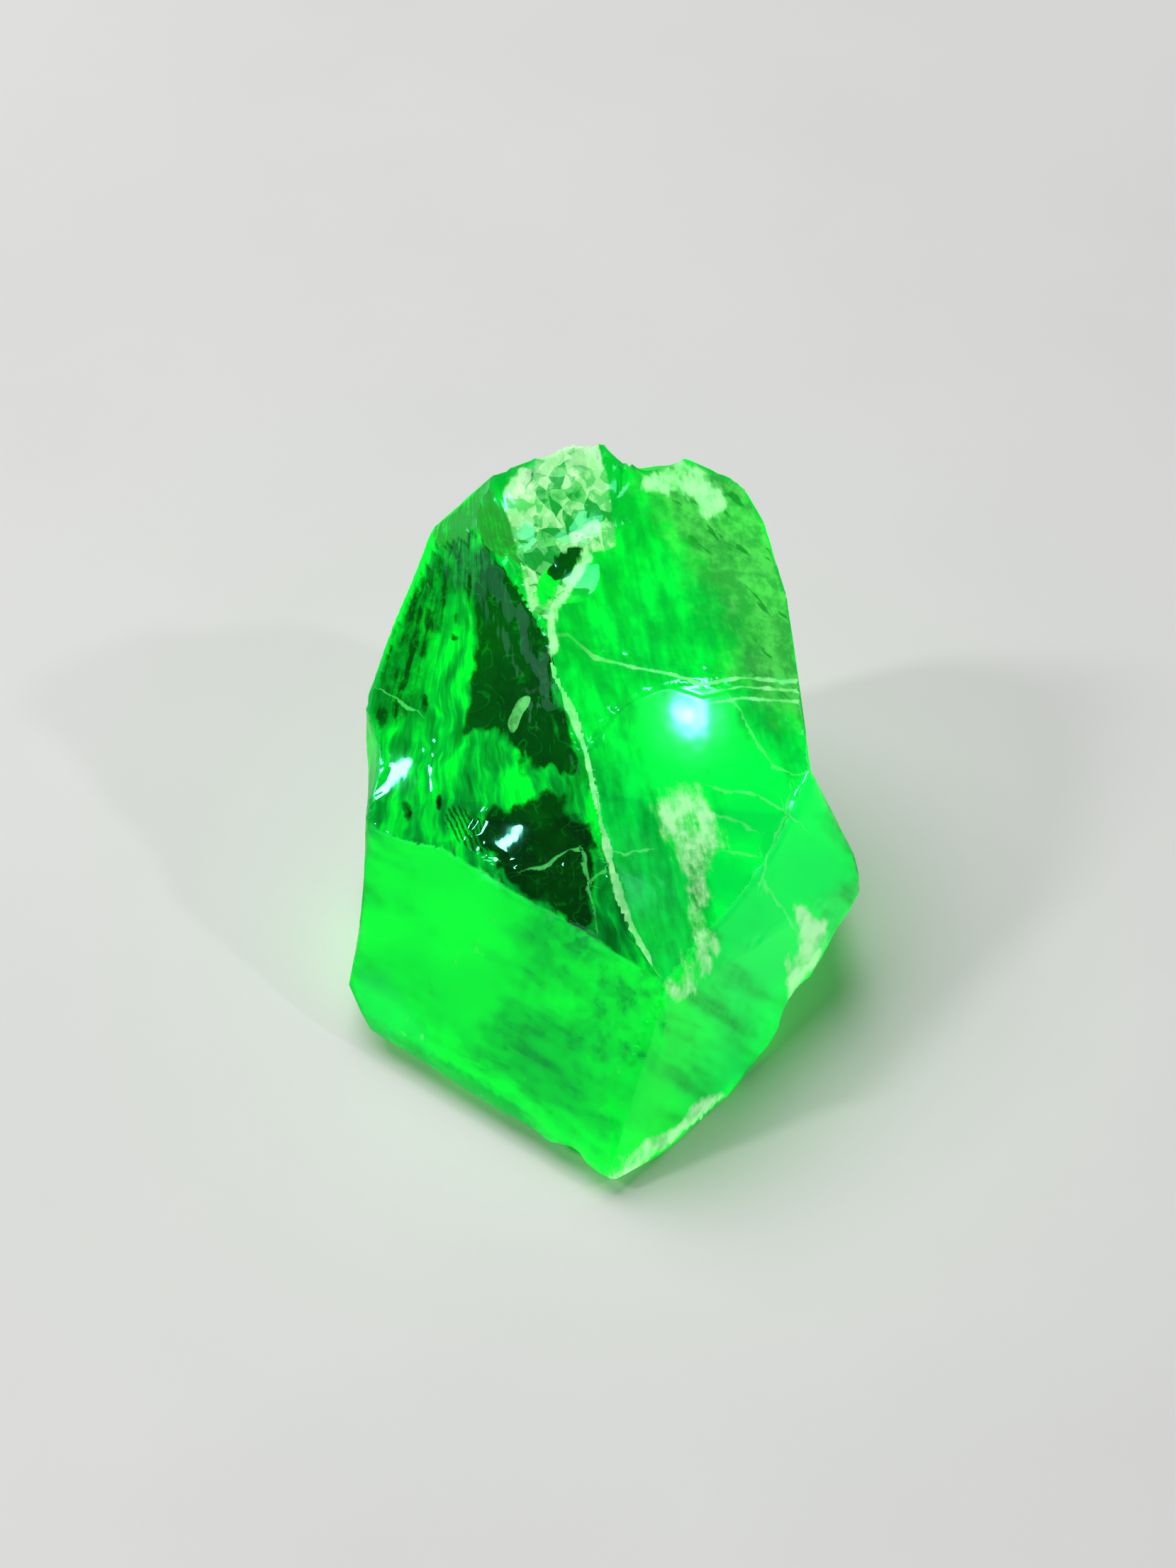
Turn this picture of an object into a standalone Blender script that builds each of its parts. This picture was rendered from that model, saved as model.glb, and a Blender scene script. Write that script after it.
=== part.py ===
# Raw tsavorite garnet: one loose piece of rough, broken on every side.
# It rests on a flat break. Its toe points to the front (-Y) and its sloping top leans back.
#
# The front is laid out on a sheet that leans back, square to an eye in front of it and above it.
# A corner is (across, up, near) in millimetres: to the right and up as it is seen on the sheet, and
# out of the sheet towards the eye. A break's name in place of near puts the corner on that break.
import math

import bmesh
import bpy
from mathutils import Matrix, Vector

MM = 0.001

# The sheet and the eye.
LOOK_DOWN = math.radians(46.0)
EYE_DISTANCE = 81.0
SHEET_ZERO = Vector((-0.4, -0.85, 6.25))
ACROSS = Vector((1.0, 0.0, 0.0))
SHEET_UP = Vector((0.0, math.sin(LOOK_DOWN), math.cos(LOOK_DOWN)))
INTO_SHEET = Vector((0.0, math.cos(LOOK_DOWN), -math.sin(LOOK_DOWN)))
EYE = SHEET_ZERO - INTO_SHEET * EYE_DISTANCE

# Heart of the stone: a point inside it that every break faces away from.
HEART = Vector((0.4, -0.8, 5.0))
BLOCK_EDGE = 40.0

# Corners that more than one break shares.
TOE = (0.45, -8.8, 0.4)
PROW = (1.7, -4.75, 1.85)

# Flat breaks, each through three corners.
FACES = {
    "lower left face": (TOE, PROW, (-5.05, -5.2, -2.55)),
    "lower right face": (TOE, PROW, (4.25, -4.95, -2.2)),
    "right middle face": ((1.7, -4.75, 1.95), (-1.25, 2.75, 0.75), (4.9, 0.25, -0.9)),
    "right upper face": (
        (-0.75, 3.15, "right middle face"), (4.65, 2.15, "right middle face"), (2.65, 6.9, -3.05)),
    "window face": ((-3.95, -1.0, "lower left face"), (0.3, -3.55, "lower left face"), (-1.25, 3.5, 0.5)),
    "right lobe": (PROW, (6.0, -2.05, -2.4), (2.65, -0.7, 1.3)),
    "left shoulder": ((-3.3, 5.35, "window face"), (-1.8, 5.85, "window face"), (-1.55, 7.0, -0.55)),
    "lobe shoulder": ((4.9, 0.3, "right lobe"), (5.75, -1.4, "right lobe"), (5.3, -0.7, -8.0)),
}

# Breaks that leave the eye's view along an edge: the edge's two corners, and how far the break
# tucks in under the stone for each millimetre that it runs away from the eye.
RIMS = {
    "left heel": ((-4.8, -5.4, "lower left face"), (-5.2, -4.5, "lower left face"), 0.3),
    "left flank": ((-5.25, -4.0, "lower left face"), (-4.95, 1.8, "window face"), 0.12),
    "upper left flank": ((-4.95, 1.8, "window face"), (-4.3, 3.6, "window face"), 0.12),
    "left corner": ((-4.3, 3.6, "window face"), (-3.3, 5.75, "left shoulder"), 0.15),
    "shoulder edge": ((-3.3, 5.8, "left shoulder"), (-2.0, 6.8, "right upper face"), 0.45),
    "crest left": ((-2.0, 6.8, "right upper face"), (-0.5, 7.5, "right upper face"), 0.5),
    "crest top": ((-0.5, 7.5, "right upper face"), (0.5, 7.45, "right upper face"), 0.5),
    "crest right": ((2.0, 7.2, "right upper face"), (3.35, 6.6, "right upper face"), 0.5),
    "right top corner": ((3.35, 6.6, "right upper face"), (3.85, 5.75, "right upper face"), 0.3),
    "right flank": ((3.85, 5.75, "right upper face"), (4.35, 4.1, "right upper face"), 0.12),
    "flank step": ((4.3, 4.4, "right upper face"), (4.9, 0.3, "right middle face"), 0.1),
    "lobe underside": ((6.1, -2.4, "right lobe"), (4.65, -4.6, "lower right face"), 0.5),
    "right underside": ((4.25, -5.4, "lower right face"), (2.6, -7.35, "lower right face"), 0.6),
    "left underside": ((-4.8, -5.45, "lower left face"), (-0.4, -8.2, "lower left face"), 0.8),
}

# Breaks that no edge of the front shows: bearing in degrees from the front (positive to the
# right), lift in degrees above the horizon, and reach in millimetres from the heart.
HIDDEN_FACES = {
    "base": (0.0, -90.0, 5.0),
    "left rim": (-38.0, 9.0, 4.55),
    "back left": (-150.0, -7.0, 6.9),
    "back right": (151.0, -5.0, 7.1),
    "back heel": (176.0, -42.0, 6.35),
}

# Two breaks that do not run right through: they meet in the step above the lobe.
STEP_FACES = ("flank step", "lobe shoulder")
STEP_BLOCK_EDGE = 12.0

# Hollows that a blow has taken out of a break: a corner on it, the break that it opens through,
# depth, radius of the hollow, and height of the ripples that run round the place of the blow.
HOLLOWS = {
    "window scoop": ((-3.7, 2.2, "window face"), "window face", 0.72, 9.5, 0.018),
    "ridge scoop": ((-1.35, 0.35, "window face"), "window face", 0.42, 7.0, 0.018),
    "middle scoop": ((2.7, -0.7, "right middle face"), "right middle face", 0.3, 16.0, 0.008),
    "flank chip": ((-5.0, 0.4, -1.5), "left flank", 0.36, 2.6, 0.0),
    "flank dish": ((-5.05, -1.8, -1.7), "left flank", 0.14, 16.0, 0.0),
    "lobe notch": ((4.5, -4.8, "lower right face"), "lobe underside", 0.22, 1.0, 0.0),
    "toe notch": ((-0.45, -8.2, "lower left face"), "left underside", 0.22, 0.9, 0.0),
    "crust chip front": ((-0.7, 6.1, "right upper face"), "right upper face", 0.27, 2.4, 0.0),
    "crust chip hollow": ((-0.55, 4.75, "right upper face"), "right upper face", 0.34, 1.2, 0.0),
    "crust chip left": ((-1.65, 5.7, "right upper face"), "right upper face", 0.26, 1.6, 0.0),
    "crust chip back": ((0.2, 6.8, "right upper face"), "right upper face", 0.16, 1.3, 0.0),
    "crest notch": ((1.3, 7.45, "right upper face"), "crest top", 0.65, 1.25, 0.0),
}

# Hollows on the far side: bearing, lift and reach of the deepest point, radius and ripples.
HIDDEN_HOLLOWS = {
    "back scoop": (-150.0, 8.0, 6.2, 9.0, 0.018),
    "back dish": (146.0, -12.0, 6.45, 7.0, 0.0),
}

# The blow fell on the crest, and the ripples run round this corner.
BLOW = (-0.55, 4.75, "right upper face")
RIPPLE_LENGTH = 1.15
RIPPLE_ARC = 7.5
RING_STEP = 0.29
FAR_RINGS = 10
RING_SIDES = 76
CHIP_ROUNDNESS = 5

GREEN = (0.0, 0.62, 0.07, 1.0)
ROUGHNESS = 0.12
GARNET_IOR = 1.74
CLEARNESS = 0.85

STONE_NAME = "raw_tsavorite_garnet"


def toward(bearing, lift):
    """Unit vector from the heart, out along a bearing and a lift."""
    b = math.radians(bearing)
    e = math.radians(lift)
    return Vector((math.sin(b) * math.cos(e), -math.cos(b) * math.cos(e), math.sin(e)))


def corner_point(corner, breaks):
    """Point on the eye's line through the sheet: so much nearer than the sheet, or on a break."""
    across, up, near = corner
    line = INTO_SHEET * EYE_DISTANCE + ACROSS * across + SHEET_UP * up
    if isinstance(near, str):
        normal, point = breaks[near]
        return EYE + line * (normal.dot(point - EYE) / normal.dot(line))
    return EYE + line * (1.0 - near / EYE_DISTANCE)


def outward(normal, point):
    """A break as its unit normal, turned away from the heart, and a point on it."""
    normal = normal.normalized()
    if normal.dot(point - HEART) < 0.0:
        normal = -normal
    return normal, point


def face_break(corners, breaks):
    """Break through three corners."""
    a, b, c = [corner_point(corner, breaks) for corner in corners]
    return outward((b - a).cross(c - a), a)


def rim_break(first, second, tuck, breaks):
    """Break that starts along the edge between two corners and runs away from the eye, tucking in."""
    a = corner_point(first, breaks)
    b = corner_point(second, breaks)
    middle = (a + b) / 2.0
    look = (middle - EYE).normalized()
    edge = (b - a).normalized()
    inward = HEART - middle
    inward = inward - look * inward.dot(look)
    inward = (inward - edge * inward.dot(edge)).normalized()
    return outward(edge.cross(look + inward * tuck), middle)


def all_breaks():
    """Every flat break by its name, in the order in which the corners need them."""
    breaks = {}
    for name, corners in FACES.items():
        breaks[name] = face_break(corners, breaks)
    for name, (first, second, tuck) in RIMS.items():
        breaks[name] = rim_break(first, second, tuck, breaks)
    for name, (bearing, lift, reach) in HIDDEN_FACES.items():
        normal = toward(bearing, lift)
        breaks[name] = (normal, HEART + normal * reach)
    return breaks


def all_hollows(breaks):
    """Every hollow as the middle of its ball, radius and ripple height, by its name."""
    hollows = {}
    for name, (corner, opening, depth, radius, ripple) in HOLLOWS.items():
        middle = corner_point(corner, breaks) + breaks[opening][0] * (radius - depth)
        hollows[name] = (middle, radius, ripple)
    for name, (bearing, lift, reach, radius, ripple) in HIDDEN_HOLLOWS.items():
        hollows[name] = (HEART + toward(bearing, lift) * (reach + radius), radius, ripple)
    return hollows


def split(bm, normal, point, keep_outside=False):
    """Cut a closed solid with one flat break and close the cut again."""
    cut = bmesh.ops.bisect_plane(
        bm,
        geom=bm.verts[:] + bm.edges[:] + bm.faces[:],
        dist=1e-8,
        plane_co=point * MM,
        plane_no=normal,
        clear_outer=not keep_outside,
        clear_inner=keep_outside,
    )
    rim = [item for item in cut["geom_cut"] if isinstance(item, bmesh.types.BMEdge)]
    if rim:
        bmesh.ops.contextual_create(bm, geom=rim)


def finish_object(bm, name, group, material=None):
    """Turn a bmesh into a named object in a collection, with its faces outward."""
    bmesh.ops.recalc_face_normals(bm, faces=bm.faces[:])
    mesh = bpy.data.meshes.new(name)
    bm.to_mesh(mesh)
    bm.free()
    if material is not None:
        mesh.materials.append(material)
    obj = bpy.data.objects.new(name, mesh)
    group.objects.link(obj)
    return obj


def as_cutter(obj):
    """Show a cutter as a wire only."""
    obj.hide_render = True
    obj.display_type = "WIRE"
    return obj


def flank_step_cutter(breaks, group):
    """Corner block whose two inner sides are the step in the right flank."""
    bm = bmesh.new()
    middle = breaks[STEP_FACES[0]][1] * MM
    bmesh.ops.create_cube(bm, size=STEP_BLOCK_EDGE * MM, matrix=Matrix.Translation(middle))
    for name in STEP_FACES:
        split(bm, *breaks[name], keep_outside=True)
    return as_cutter(finish_object(bm, "cut_flank_step", group))


def rippled_cutter(name, middle, radius, ripple, blow, group):
    """Ball turned about the line to the blow, its skin waved in rings round that line."""
    near = [step * RING_STEP for step in range(int(RIPPLE_ARC / RING_STEP) + 1)]
    far_step = (math.pi * radius - near[-1]) / FAR_RINGS
    arcs = near + [near[-1] + far_step * step for step in range(1, FAR_RINGS + 1)]
    bm = bmesh.new()
    profile = []
    for arc in arcs:
        wave = ripple * math.cos(2.0 * math.pi * arc / RIPPLE_LENGTH) if arc <= near[-1] else 0.0
        angle = arc / radius
        outline = Vector((math.sin(angle), 0.0, math.cos(angle))) * (radius + wave)
        profile.append(bm.verts.new(outline * MM))
    profile[0].co.x = 0.0
    profile[-1].co.x = 0.0
    for pair in zip(profile, profile[1:]):
        bm.edges.new(pair)
    mesh = bpy.data.meshes.new("cut_" + name.replace(" ", "_"))
    bm.to_mesh(mesh)
    bm.free()
    cutter = bpy.data.objects.new(mesh.name, mesh)
    cutter.location = middle * MM
    cutter.rotation_euler = (blow - middle).to_track_quat("Z", "Y").to_euler()
    turn = cutter.modifiers.new("turn", "SCREW")
    turn.axis = "Z"
    turn.angle = 2.0 * math.pi
    turn.steps = RING_SIDES
    turn.render_steps = RING_SIDES
    turn.use_merge_vertices = True
    turn.merge_threshold = 1e-7
    turn.use_normal_calculate = True
    group.objects.link(cutter)
    return as_cutter(cutter)


def chip_cutter(name, middle, radius, group):
    """Small ball that takes one chip off the stone."""
    bm = bmesh.new()
    bmesh.ops.create_icosphere(
        bm,
        subdivisions=CHIP_ROUNDNESS,
        radius=radius * MM,
        matrix=Matrix.Translation(middle * MM),
    )
    return as_cutter(finish_object(bm, "cut_" + name.replace(" ", "_"), group))


def garnet_material():
    """Clear bright green garnet."""
    material = bpy.data.materials.new("tsavorite green")
    material.use_nodes = True
    shader = material.node_tree.nodes["Principled BSDF"]
    shader.inputs["Base Color"].default_value = GREEN
    shader.inputs["Roughness"].default_value = ROUGHNESS
    shader.inputs["Metallic"].default_value = 0.0
    shader.inputs["IOR"].default_value = GARNET_IOR
    shader.inputs["Transmission Weight"].default_value = CLEARNESS
    return material


for old in list(bpy.data.objects):
    bpy.data.objects.remove(old, do_unlink=True)

stone_group = bpy.data.collections.new(STONE_NAME)
cutter_group = bpy.data.collections.new("cutters")
bpy.context.scene.collection.children.link(stone_group)
bpy.context.scene.collection.children.link(cutter_group)

# The block, cut down break by break.
breaks = all_breaks()
block = bmesh.new()
bmesh.ops.create_cube(block, size=BLOCK_EDGE * MM, matrix=Matrix.Translation(HEART * MM))
for name, (normal, point) in breaks.items():
    if name not in STEP_FACES:
        split(block, normal, point)
stone = finish_object(block, STONE_NAME, stone_group, garnet_material())

# The step, the rippled hollows and the chips, taken off one after another.
blow = corner_point(BLOW, breaks)
cutters = [flank_step_cutter(breaks, cutter_group)]
for name, (middle, radius, ripple) in all_hollows(breaks).items():
    if ripple:
        cutters.append(rippled_cutter(name, middle, radius, ripple, blow, cutter_group))
    else:
        cutters.append(chip_cutter(name, middle, radius, cutter_group))
for cutter in cutters:
    step = stone.modifiers.new("take off " + cutter.name[4:].replace("_", " "), "BOOLEAN")
    step.operation = "DIFFERENCE"
    step.solver = "EXACT"
    step.object = cutter
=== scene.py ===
# %% [markdown]
# # A raw tsavorite garnet
# A piece of rough gem is all broken faces: flat ones where it split, hollow ones where a blow
# took a shell off it, and a crushed crest where the blow fell. This lesson builds that skin from
# its breaks, gives it a clear green body, and lights it on a pale table.

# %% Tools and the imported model
import math

import bpy
import numpy as np
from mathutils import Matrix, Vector


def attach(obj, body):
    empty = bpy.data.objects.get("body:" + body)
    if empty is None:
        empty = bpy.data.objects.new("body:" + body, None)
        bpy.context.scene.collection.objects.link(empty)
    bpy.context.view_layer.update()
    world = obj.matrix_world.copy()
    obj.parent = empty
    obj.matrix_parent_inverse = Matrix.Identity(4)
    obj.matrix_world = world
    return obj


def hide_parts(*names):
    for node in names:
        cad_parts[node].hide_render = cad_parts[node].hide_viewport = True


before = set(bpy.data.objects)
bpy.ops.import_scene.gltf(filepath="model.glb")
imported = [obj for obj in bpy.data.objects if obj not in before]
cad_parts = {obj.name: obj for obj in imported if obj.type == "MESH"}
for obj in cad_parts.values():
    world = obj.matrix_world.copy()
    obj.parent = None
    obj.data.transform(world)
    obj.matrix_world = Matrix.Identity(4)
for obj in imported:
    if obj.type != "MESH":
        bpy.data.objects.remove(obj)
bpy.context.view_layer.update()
MM = 0.001
STONE = "raw_tsavorite_garnet"

# %% [markdown]
# ## The sheet that the stone is laid out on
# Corners are easiest to place on a drawing. This one is a sheet that leans back, square to an eye
# in front of the stone and above it. A corner is given in millimetres: across to the right, up
# towards the crest, and near, out of the sheet towards the eye.

# %% The sheet and the eye
LOOK_DOWN = math.radians(46.0)
EYE_DISTANCE = 81.0
SHEET_ZERO = np.array([-0.4, -0.85, 6.25])
ACROSS = np.array([1.0, 0.0, 0.0])
SHEET_UP = np.array([0.0, math.sin(LOOK_DOWN), math.cos(LOOK_DOWN)])
INTO_SHEET = np.array([0.0, math.cos(LOOK_DOWN), -math.sin(LOOK_DOWN)])
EYE = SHEET_ZERO - INTO_SHEET * EYE_DISTANCE


def sheet_place(points):
    """Across and up on the sheet: where the line from the eye to the point crosses it."""
    seen = points - EYE
    scale = EYE_DISTANCE / (seen @ INTO_SHEET)
    return np.stack([seen[:, 0] * scale, (seen @ SHEET_UP) * scale], 1)


print("the eye stands at", EYE.round(1), "mm")

# %% [markdown]
# ## The breaks
# A broken stone could be carved with Booleans, but then its edges are only as fine as the
# cutters. Here each break is worked out from corners on the sheet, and numpy finds the skin along
# any ray. A break's name in place of near puts the corner on that break.

# %% Corners of the breaks
HEART = np.array([0.4, -0.8, 5.0])

# Corners that more than one break shares.
TOE = (0.45, -8.8, 0.4)
PROW = (1.7, -4.75, 1.85)

# Flat breaks, each through three corners.
FACES = {
    "lower left face": (TOE, PROW, (-5.05, -5.2, -2.55)),
    "lower right face": (TOE, PROW, (4.25, -4.95, -2.2)),
    "right middle face": ((1.7, -4.75, 1.95), (-1.25, 2.75, 0.75), (4.9, 0.25, -0.9)),
    "right upper face": (
        (-0.75, 3.15, "right middle face"), (4.65, 2.15, "right middle face"), (2.65, 6.9, -3.05)),
    "window face": ((-3.95, -1.0, "lower left face"), (0.3, -3.55, "lower left face"), (-1.25, 3.5, 0.5)),
    "right lobe": (PROW, (6.0, -2.05, -2.4), (2.65, -0.7, 1.3)),
    "left shoulder": ((-3.3, 5.35, "window face"), (-1.8, 5.85, "window face"), (-1.55, 7.0, -0.55)),
    "lobe shoulder": ((4.9, 0.3, "right lobe"), (5.75, -1.4, "right lobe"), (5.3, -0.7, -8.0)),
}

# Breaks that leave the eye's view along an edge: the edge's two corners, and how far the break
# tucks in under the stone for each millimetre that it runs away from the eye.
RIMS = {
    "left heel": ((-4.8, -5.4, "lower left face"), (-5.2, -4.5, "lower left face"), 0.3),
    "left flank": ((-5.25, -4.0, "lower left face"), (-4.95, 1.8, "window face"), 0.12),
    "upper left flank": ((-4.95, 1.8, "window face"), (-4.3, 3.6, "window face"), 0.12),
    "left corner": ((-4.3, 3.6, "window face"), (-3.3, 5.75, "left shoulder"), 0.15),
    "shoulder edge": ((-3.3, 5.8, "left shoulder"), (-2.0, 6.8, "right upper face"), 0.45),
    "crest left": ((-2.0, 6.8, "right upper face"), (-0.5, 7.5, "right upper face"), 0.5),
    "crest top": ((-0.5, 7.5, "right upper face"), (0.5, 7.45, "right upper face"), 0.5),
    "crest right": ((2.0, 7.2, "right upper face"), (3.35, 6.6, "right upper face"), 0.5),
    "right top corner": ((3.35, 6.6, "right upper face"), (3.85, 5.75, "right upper face"), 0.3),
    "right flank": ((3.85, 5.75, "right upper face"), (4.35, 4.1, "right upper face"), 0.12),
    "flank step": ((4.3, 4.4, "right upper face"), (4.9, 0.3, "right middle face"), 0.1),
    "lobe underside": ((6.1, -2.4, "right lobe"), (4.65, -4.6, "lower right face"), 0.5),
    "right underside": ((4.25, -5.4, "lower right face"), (2.6, -7.35, "lower right face"), 0.6),
    "left underside": ((-4.8, -5.45, "lower left face"), (-0.4, -8.2, "lower left face"), 0.8),
}

# Breaks that no edge of the front shows: bearing in degrees from the front (positive to the
# right), lift in degrees above the horizon, and reach in millimetres from the heart.
HIDDEN_FACES = {
    "base": (0.0, -90.0, 5.0),
    "left rim": (-38.0, 9.0, 4.55),
    "back left": (-150.0, -7.0, 6.9),
    "back right": (151.0, -5.0, 7.1),
    "back heel": (176.0, -42.0, 6.35),
}

# Two breaks that do not run right through: they meet in the step above the lobe.
STEP_FACES = ("flank step", "lobe shoulder")

# Hollows that a blow has taken out of a break: a corner on it, the break that it opens through,
# depth, radius of the hollow, and height of the ripples that run round the place of the blow.
HOLLOWS = {
    "window scoop": ((-3.7, 2.2, "window face"), "window face", 0.72, 9.5, 0.0),
    "ridge scoop": ((-1.35, 0.35, "window face"), "window face", 0.34, 7.0, 0.0),
    "top scoop": ((-1.2, 3.5, "window face"), "window face", 0.20, 3.0, 0.0),
    "middle scoop": ((2.7, -0.7, "right middle face"), "right middle face", 0.3, 16.0, 0.0),
    "prow scoop": ((1.2, -2.8, "right middle face"), "right middle face", 0.22, 5.0, 0.0),
    "flank chip": ((-5.0, 0.4, -1.5), "left flank", 0.36, 2.6, 0.0),
    "flank dish": ((-5.05, -1.8, -1.7), "left flank", 0.14, 16.0, 0.0),
    "lobe notch": ((4.5, -4.8, "lower right face"), "lobe underside", 0.22, 1.0, 0.0),
    "toe notch": ((-0.45, -8.2, "lower left face"), "left underside", 0.22, 0.9, 0.0),
    "crust chip front": ((-0.7, 6.1, "right upper face"), "right upper face", 0.27, 2.4, 0.0),
    "crust chip hollow": ((-0.55, 4.75, "right upper face"), "right upper face", 0.34, 1.2, 0.0),
    "crust chip left": ((-1.65, 5.7, "right upper face"), "right upper face", 0.26, 1.6, 0.0),
    "crust chip back": ((0.2, 6.8, "right upper face"), "right upper face", 0.16, 1.3, 0.0),
    "crest notch": ((1.3, 7.45, "right upper face"), "crest top", 0.65, 1.25, 0.0),
}

# Hollows on the far side: bearing, lift and reach of the deepest point, radius and ripples.
HIDDEN_HOLLOWS = {
    "back scoop": (-150.0, 8.0, 6.2, 9.0, 0.018),
    "back dish": (146.0, -12.0, 6.45, 7.0, 0.0),
}

# The blow fell on the crest, and the ripples run round this corner.
BLOW = (-0.55, 4.75, "right upper face")
RIPPLE_LENGTH = 1.15
print(len(FACES) + len(RIMS) + len(HIDDEN_FACES), "flat breaks and",
      len(HOLLOWS) + len(HIDDEN_HOLLOWS), "hollows")

# %% Planes and balls worked out from the corners


def toward(bearing, lift):
    """Unit vector: sine and minus cosine of the bearing, times the lift's cosine, and the lift's sine up."""
    turned, raised = math.radians(bearing), math.radians(lift)
    flat = math.cos(raised)
    return np.array([math.sin(turned) * flat, -math.cos(turned) * flat, math.sin(raised)])


def unit(vectors):
    """Vectors made one long."""
    return vectors / np.linalg.norm(vectors, axis=-1, keepdims=True)


def corner_point(corner, breaks):
    """Point on the eye's line through the sheet: so much nearer than the sheet, or where a break cuts it."""
    across, up, near = corner
    line = INTO_SHEET * EYE_DISTANCE + ACROSS * across + SHEET_UP * up
    if isinstance(near, str):
        normal, point = breaks[near]
        return EYE + line * (normal @ (point - EYE)) / (normal @ line)
    return EYE + line * (1.0 - near / EYE_DISTANCE)


def outward(normal, point):
    """A break as its unit normal, turned away from the heart, and a point on it."""
    normal = unit(normal)
    return normal * np.sign(normal @ (point - HEART)), point


def rim_break(first, second, tuck, breaks):
    """Plane through the edge of two corners and the look past it, bent inwards by tuck for each mm."""
    a, b = corner_point(first, breaks), corner_point(second, breaks)
    middle = (a + b) / 2.0
    look, edge = unit(middle - EYE), unit(b - a)
    inward = HEART - middle
    inward = inward - look * (inward @ look)
    inward = unit(inward - edge * (inward @ edge))
    return outward(np.cross(edge, look + inward * tuck), middle)


def all_breaks():
    """Every flat break by its name, in the order in which the corners need them."""
    breaks = {}
    for name, corners in FACES.items():
        a, b, c = [corner_point(corner, breaks) for corner in corners]
        breaks[name] = outward(np.cross(b - a, c - a), a)
    for name, (first, second, tuck) in RIMS.items():
        breaks[name] = rim_break(first, second, tuck, breaks)
    for name, (bearing, lift, reach) in HIDDEN_FACES.items():
        normal = toward(bearing, lift)
        breaks[name] = (normal, HEART + normal * reach)
    return breaks


def all_hollows(breaks):
    """Every hollow as the middle of its ball, its radius and its ripples' height. The ball sits outside
    its break, its radius less its depth away."""
    hollows = {}
    for name, (corner, opening, depth, radius, ripple) in HOLLOWS.items():
        middle = corner_point(corner, breaks) + breaks[opening][0] * (radius - depth)
        hollows[name] = (middle, radius, ripple)
    for name, (bearing, lift, reach, radius, ripple) in HIDDEN_HOLLOWS.items():
        hollows[name] = (HEART + toward(bearing, lift) * (reach + radius), radius, ripple)
    return hollows


PLANES = all_breaks()
BALLS = all_hollows(PLANES)
BLOW_POINT = corner_point(BLOW, PLANES)
STEP_PLANES = [PLANES[name] for name in STEP_FACES]
CUT_THROUGH = {name: plane for name, plane in PLANES.items() if name not in STEP_FACES}
BREAKS = list(CUT_THROUGH) + ["flank step"] + list(BALLS)
print("the blow fell at", BLOW_POINT.round(2), "mm")

# %% [markdown]
# ## A ball of rays
# A sphere of meridians pinches at its poles and wastes points there. A cube's skin pushed out to
# a ball has no poles, and its cells are nearly alike, so every break gets an even grid.

# %% The ball of rays
CELLS = 126
CENTRE = np.array([-0.1, 0.9, 4.05])


def ball_grid(cells):
    """Six square grids, one on each side of a cube. A point's three steps are turned into angles from
    -45 to 45 degrees, and their tangents, made one unit long, are its ray. Points shared by two sides
    are kept once."""
    step = np.arange(cells + 1)
    i, j = np.meshgrid(step, step, indexing="ij")
    sides = []
    for axis in range(3):
        low = np.stack([np.zeros_like(i), j, i], -1)
        high = np.stack([np.full_like(i, cells), i, j], -1)
        sides += [np.roll(low, axis, -1), np.roll(high, axis, -1)]
    lattice = np.stack(sides)
    points, index = np.unique(lattice.reshape(-1, 3), axis=0, return_inverse=True)
    index = index.reshape(6, cells + 1, cells + 1)
    quads = np.stack([index[:, :-1, :-1], index[:, 1:, :-1], index[:, 1:, 1:], index[:, :-1, 1:]], -1)
    rays = np.tan((points / cells * 2.0 - 1.0) * math.pi / 4.0)
    return unit(rays), quads.reshape(-1, 4)


rays, quads = ball_grid(CELLS)
print(len(rays), "rays,", len(quads), "cells")

# %% [markdown]
# ## How far each ray runs
# A flat break stops a ray where the plane lies. A hollow stops it where it enters the ball that
# took the shell off. The stone's skin is simply the first break that a ray meets.

# %% The reach of every break along every ray
FAR = 99.0
GRAZING = 1e-3


def flat_reach(rays, normal, point):
    """Distance to the plane, divided by how squarely the ray meets it."""
    gap = normal @ (point - CENTRE)
    facing = rays @ normal
    return np.where(facing > GRAZING, gap / np.maximum(facing, GRAZING), FAR)


def ball_entry(rays, middle, radius):
    """Nearer root of the ray and ball equation, or FAR where the ray misses."""
    along = rays @ (middle - CENTRE)
    inside = along**2 - np.sum((middle - CENTRE) ** 2) + radius**2
    entry = along - np.sqrt(np.maximum(inside, 0.0))
    return np.where((inside > 0.0) & (entry > 0.0), entry, FAR)


def hollow_reach(rays, middle, radius, ripple):
    """Entry into a ball whose radius is waved by a cosine of the arc from the line to the blow."""
    entry = ball_entry(rays, middle, radius)
    if not ripple:
        return entry
    axis = unit(BLOW_POINT - middle)
    out = unit(CENTRE + rays * entry[:, None] - middle)
    arc = radius * np.arccos(np.clip(out @ axis, -1.0, 1.0))
    waved = radius + ripple * np.cos(2.0 * math.pi * arc / RIPPLE_LENGTH)
    return np.where(entry < FAR, ball_entry(rays, middle, waved), FAR)


def all_reaches(rays):
    """One row for each break: how far every ray runs before that break stops it."""
    rows = [flat_reach(rays, *plane) for plane in CUT_THROUGH.values()]
    rows.append(np.maximum(*[flat_reach(rays, *plane) for plane in STEP_PLANES]))
    rows += [hollow_reach(rays, *ball) for ball in BALLS.values()]
    return np.stack(rows)


reach = all_reaches(rays)
print("skin from", reach.min(0).min().round(2), "to", reach.min(0).max().round(2), "mm from the centre")

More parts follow.
